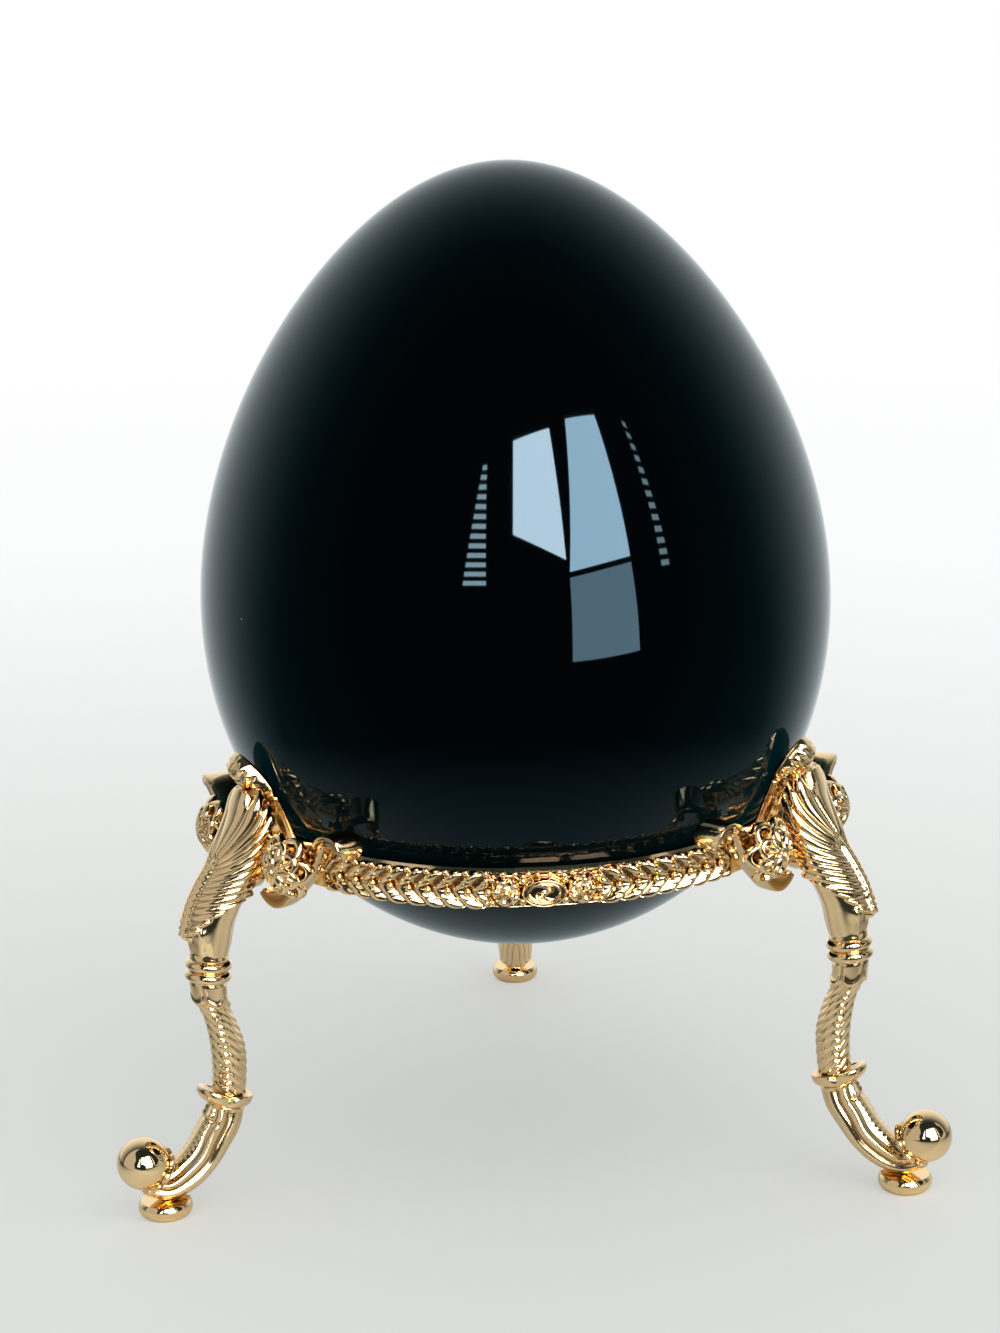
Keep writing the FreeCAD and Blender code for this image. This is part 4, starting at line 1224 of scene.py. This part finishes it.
def pale_floor():
    finish, tree, matt = new_finish("pale_floor")
    place = node(tree, "ShaderNodeTexCoord").outputs["Object"]
    path = node(tree, "ShaderNodeLightPath")
    middle = (FLOOR_MIDDLE[0] * MM, FLOOR_MIDDLE[1] * MM, 0)
    centred = node(tree, "ShaderNodeVectorMath", {0: place, 1: middle}, operation="SUBTRACT")
    far, near = [
        node(tree, "ShaderNodeVectorMath", {0: start}, operation="LENGTH").outputs["Value"]
        for start in (centred.outputs[0], place)
    ]
    fade, painted_glow_amount, beyond = [
        ranged(tree, value, low, high, to, interpolation_type="SMOOTHSTEP")
        for value, (low, high), to in (
            (far, FLOOR_PAINTED_FALLOFF_M, (0, 1)),
            (far, FLOOR_PAINTED_GLOW_FADE_M, (FLOOR_PAINTED_GLOW_SHARE, 1)),
            (near, FLOOR_ROOM_FADE_M, (0, 1)),
        )
    ]
    # The floor's colour: painted shade near the stand, paler away from it.
    feed(tree, matt, {
        "Base Color": mixed(tree, fade, FLOOR_NEAR_PAINTED_SHADE, FLOOR_FAR_PAINTED_LIGHT),
        "Roughness": FLOOR_ROUGH,
        "Specular IOR Level": FLOOR_SHINE,
    })
    # The painted glow that lightens the stand's shadow for the camera.
    lift = node(tree, "ShaderNodeEmission", {"Color": mixed(tree, fade, FLOOR_PAINTED_GLOW, WHITE)})
    way = node(tree, "ShaderNodeVectorMath", {0: place}, operation="NORMALIZE").outputs[0]
    room_glow = node(tree, "ShaderNodeEmission", {"Color": room_level(tree, way)})
    # How much of the floor the camera sees as painted glow.
    painted_glow_seen = calculated(tree, "MULTIPLY", painted_glow_amount, path.outputs["Is Camera Ray"])
    shiny = calculated(tree, "MULTIPLY", beyond, path.outputs["Is Glossy Ray"])
    whole = shared(tree, shiny, shared(tree, painted_glow_seen, matt, lift), room_glow)
    feed(tree, tree.nodes["Material Output"], {"Surface": whole.outputs[0]})
    return finish


floor_mesh = bpy.data.meshes.new("floor")
rim = around(FLOOR_CORNERS)[0]
floor_mesh.from_pydata(
    [(FLOOR_R * MM * math.cos(a), FLOOR_R * MM * math.sin(a), 0) for a in rim], [],
    [range(FLOOR_CORNERS)],
)
floor_mesh.materials.append(pale_floor())
floor = bpy.data.objects.new("floor", floor_mesh)
bpy.context.scene.collection.objects.link(floor)
floor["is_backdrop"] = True

# The light: an even pale room, darker on the viewer's side, one broad soft lamp, and a
# tall window of two panes between slatted blinds that only the polished faces show. The
# gilt faces see a soft front light too, broken by a dark patch round the window.
ROOM = (0.96, 0.98, 1.0, 1)
ROOM_STRENGTH = 0.95
LAMP_POWER = 2.4
LAMP_SIZE = 0.9
LAMP_AT = (0.55, -0.55, 1.15)
WINDOW_FAR = 330.0
WINDOW_GLOW = 116.0
GLINT_FAR = 1550.0
GLINT_GLOW = 14.0
GLINT_SWELL = 1.3
GLINT_TINT = (1.0, 1.0, 0.97)
FILL = (1.0, 0.955, 0.93)
FILL_GLOW = 0.525
FILL_FAR = 1500.0
FILL_EDGE_M = (-0.02, -0.09)
FILL_LOW_REACHES = (40, 70, 110, 180, 300, 520, 900)
FILL_LOW_Z = 1.0
FILL_STEP_DEG = 4
FILL_TURN_DEG = 3.0
DARK_MIDDLE = (-70.0, 42.0)
DARK_HALF_DEG = 50.0
DARK_EDGE_WAVES = ((0.14, 3, 0), (0.10, 5, 1))
# The window's parts: the colour, the number of slats, and for each corner the place on
# the egg that shows it and the way from there.
WINDOW = {
    "left_pane": (
        (1.0, 0.594, 0.50), 0,
        ((0, -34.6, 99.7), (0.005, -0.760, 0.650)),
        ((4.2, -33.7, 101), (0.231, -0.702, 0.674)),
        ((5.8, -38.9, 86.2), (0.306, -0.921, 0.240)),
        ((-0.3, -38.5, 89.3), (-0.011, -0.937, 0.348)),
    ),
    "right_pane": (
        (0.575, 0.414, 0.381), 0,
        ((6.2, -32.9, 101.9), (0.329, -0.649, 0.686)),
        ((9.6, -32, 102.1), (0.497, -0.556, 0.667)),
        ((13.4, -37.1, 86.1), (0.658, -0.723, 0.21)),
        ((6.2, -39.2, 84.8), (0.326, -0.926, 0.192)),
    ),
    "low_pane": (
        (0.17, 0.13, 0.12), 0,
        ((6.2, -39.3, 84.1), (0.325, -0.931, 0.169)),
        ((13.5, -37.2, 85.4), (0.661, -0.726, 0.188)),
        ((14.3, -38.4, 75), (0.676, -0.717, -0.169)),
        ((6.3, -40.5, 74.3), (0.321, -0.928, -0.191)),
    ),
    "left_blind": (
        (0.42, 0.284, 0.236), 13,
        ((-3.6, -35.6, 97.1), (-0.185, -0.797, 0.578)),
        ((-3.2, -35.6, 97.1), (-0.160, -0.797, 0.578)),
        ((-3.7, -39.8, 83.1), (-0.183, -0.974, 0.136)),
        ((-6.5, -39.5, 83.1), (-0.325, -0.936, 0.132)),
    ),
    "right_blind": (
        (0.22, 0.167, 0.136), 13,
        ((12.8, -31.3, 101.1), (0.63, -0.46, 0.61)),
        ((13.4, -31.3, 101.1), (0.66, -0.46, 0.61)),
        ((18.4, -35.4, 84), (0.845, -0.545, 0.12)),
        ((17.0, -35.9, 84), (0.79, -0.575, 0.12)),
    ),
}


def room():
    """The room's light: even for matt faces, and darker to one side for polished ones."""
    world = bpy.data.worlds.new("room")
    world.use_nodes = True
    tree = world.node_tree
    tree.nodes.clear()
    path = node(tree, "ShaderNodeLightPath")
    even = node(tree, "ShaderNodeBackground", {"Color": ROOM, "Strength": ROOM_STRENGTH})
    white = node(tree, "ShaderNodeBackground", {"Color": WHITE})
    way = node(tree, "ShaderNodeTexCoord").outputs["Generated"]
    shiny = node(tree, "ShaderNodeBackground", {"Color": room_level(tree, way)})
    lit = shared(tree, path.outputs["Is Glossy Ray"], even, shiny)
    whole = shared(tree, path.outputs["Is Camera Ray"], lit, white)
    node(tree, "ShaderNodeOutputWorld", {"Surface": whole.outputs[0]})
    return world


def glowing(name, colour, strength):
    """A see-through finish with an even glow, and its tree of nodes."""
    finish, tree, _ = new_finish(name)
    tree.nodes.clear()
    glow = node(tree, "ShaderNodeEmission", {"Color": (*colour, 1), "Strength": strength})
    clear = node(tree, "ShaderNodeBsdfTransparent")
    both = node(tree, "ShaderNodeAddShader", {0: glow.outputs[0], 1: clear.outputs[0]})
    node(tree, "ShaderNodeOutputMaterial", {"Surface": both.outputs[0]})
    return finish, tree


def only_in_polish(name, points, faces, finish, receivers):
    """A see-through glowing sheet that shows in the polish of some pieces only."""
    mesh = bpy.data.meshes.new(name)
    mesh.from_pydata(points, [], faces)
    mesh.materials.append(finish)
    sheet = bpy.data.objects.new(name, mesh)
    bpy.context.scene.collection.objects.link(sheet)
    sheet.visible_camera = sheet.visible_diffuse = sheet.visible_shadow = False
    sheet.visible_transmission = sheet.visible_volume_scatter = False
    sheet.light_linking.receiver_collection = receivers
    sheet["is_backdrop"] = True


def window_part(name, corners, slats, far_off, swell, finish, receivers):
    """A pane, or a blind of slats, out where the egg's polish reflects it."""
    far = [Vector(hit) + Vector(way) * far_off for hit, way in corners]
    middle = sum(far, Vector()) / 4
    far = [middle + (corner - middle) * swell for corner in far]
    top_left, top_right, low_right, low_left = far
    points, faces = [], []
    count = slats or 1
    for n in range(count):
        high, low = n / count, (n + (0.5 if slats else 1)) / count
        quad = (
            top_left.lerp(low_left, high), top_right.lerp(low_right, high),
            top_right.lerp(low_right, low), top_left.lerp(low_left, low),
        )
        faces.append(range(len(points), len(points) + 4))
        points += [to_stand @ (corner * MM) for corner in quad]
    only_in_polish(name, points, faces, finish, receivers)


def direction(turn, rise):
    """A unit step in a direction round the egg, at an angle over the floor."""
    level = math.cos(rise)
    return Vector((math.cos(turn) * level, math.sin(turn) * level, math.sin(rise)))


def front_light(receivers):
    """The soft front light: a half shell over a low sheet, open where it is dark."""
    finish, tree = glowing("front_light", FILL, FILL_GLOW)
    place = node(tree, "ShaderNodeTexCoord").outputs["Object"]
    split = node(tree, "ShaderNodeSeparateXYZ", {0: place})
    edge = ranged(
        tree, split.outputs["Y"], *FILL_EDGE_M, (0, FILL_GLOW), interpolation_type="SMOOTHSTEP",
    )
    feed(tree, tree.nodes["Emission"], {"Strength": edge})
    rises = np.radians(np.arange(0, 89, FILL_STEP_DEG))
    rows = [(reach, FILL_LOW_Z, 0.0) for reach in FILL_LOW_REACHES]
    rows += [
        (FILL_FAR * math.cos(rise), FILL_LOW_Z + FILL_FAR * math.sin(rise), rise)
        for rise in rises
    ]
    across = np.radians(np.arange(-180.0, 1.0, FILL_TURN_DEG))
    columns = len(across)
    points = [
        (reach * math.cos(a) * MM, reach * math.sin(a) * MM, height * MM)
        for reach, height, rise in rows for a in across
    ]
    dark_turn, dark_rise = np.radians(DARK_MIDDLE)
    dark = direction(dark_turn, dark_rise)
    beside = Vector((-math.sin(dark_turn), math.cos(dark_turn), 0))
    above = dark.cross(-beside)
    half_row, half_column = math.radians(FILL_STEP_DEG / 2), math.radians(FILL_TURN_DEG / 2)
    faces = []
    for n, (_, _, rise) in enumerate(rows[:-1]):
        for m, turn in enumerate(across[:-1]):
            way = direction(turn + half_column, rise + half_row)
            bearing = math.atan2(way.dot(above), way.dot(beside))
            edge_at = 1 + sum(
                size * math.sin(waves * bearing + start)
                for size, waves, start in DARK_EDGE_WAVES
            )
            if math.degrees(way.angle(dark)) >= DARK_HALF_DEG * edge_at:
                first = n * columns + m
                faces.append((first, first + 1, first + columns + 1, first + columns))
    only_in_polish("front_light", points, faces, finish, receivers)


for_egg = bpy.data.collections.new("glass_pieces")
for_gilt = bpy.data.collections.new("gilt_pieces")
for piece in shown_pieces():
    (for_egg if piece.name == "glass_egg" else for_gilt).objects.link(piece)
for part, (colour, slats, *corners) in WINDOW.items():
    finish, _ = glowing(f"{part}_deep", colour, WINDOW_GLOW)
    window_part(f"{part}_deep", corners, slats, WINDOW_FAR, 1.0, finish, for_egg)
    finish, _ = glowing(f"{part}_bright", [colour[0] * tint for tint in GLINT_TINT], GLINT_GLOW)
    window_part(f"{part}_bright", corners, slats, GLINT_FAR, GLINT_SWELL, finish, for_gilt)
front_light(for_gilt)

bpy.context.scene.world = room()
lamp = bpy.data.objects.new("soft_lamp", bpy.data.lights.new("soft_lamp", "AREA"))
lamp.data.shape = "DISK"
lamp.data.size = LAMP_SIZE
lamp.data.energy = LAMP_POWER
lamp.location = LAMP_AT
lamp.rotation_euler = (-Vector(LAMP_AT)).to_track_quat("-Z", "Y").to_euler()
lamp.visible_glossy = False
lamp.visible_camera = False
bpy.context.scene.collection.objects.link(lamp)

bpy.context.scene.view_settings.view_transform = "Standard"
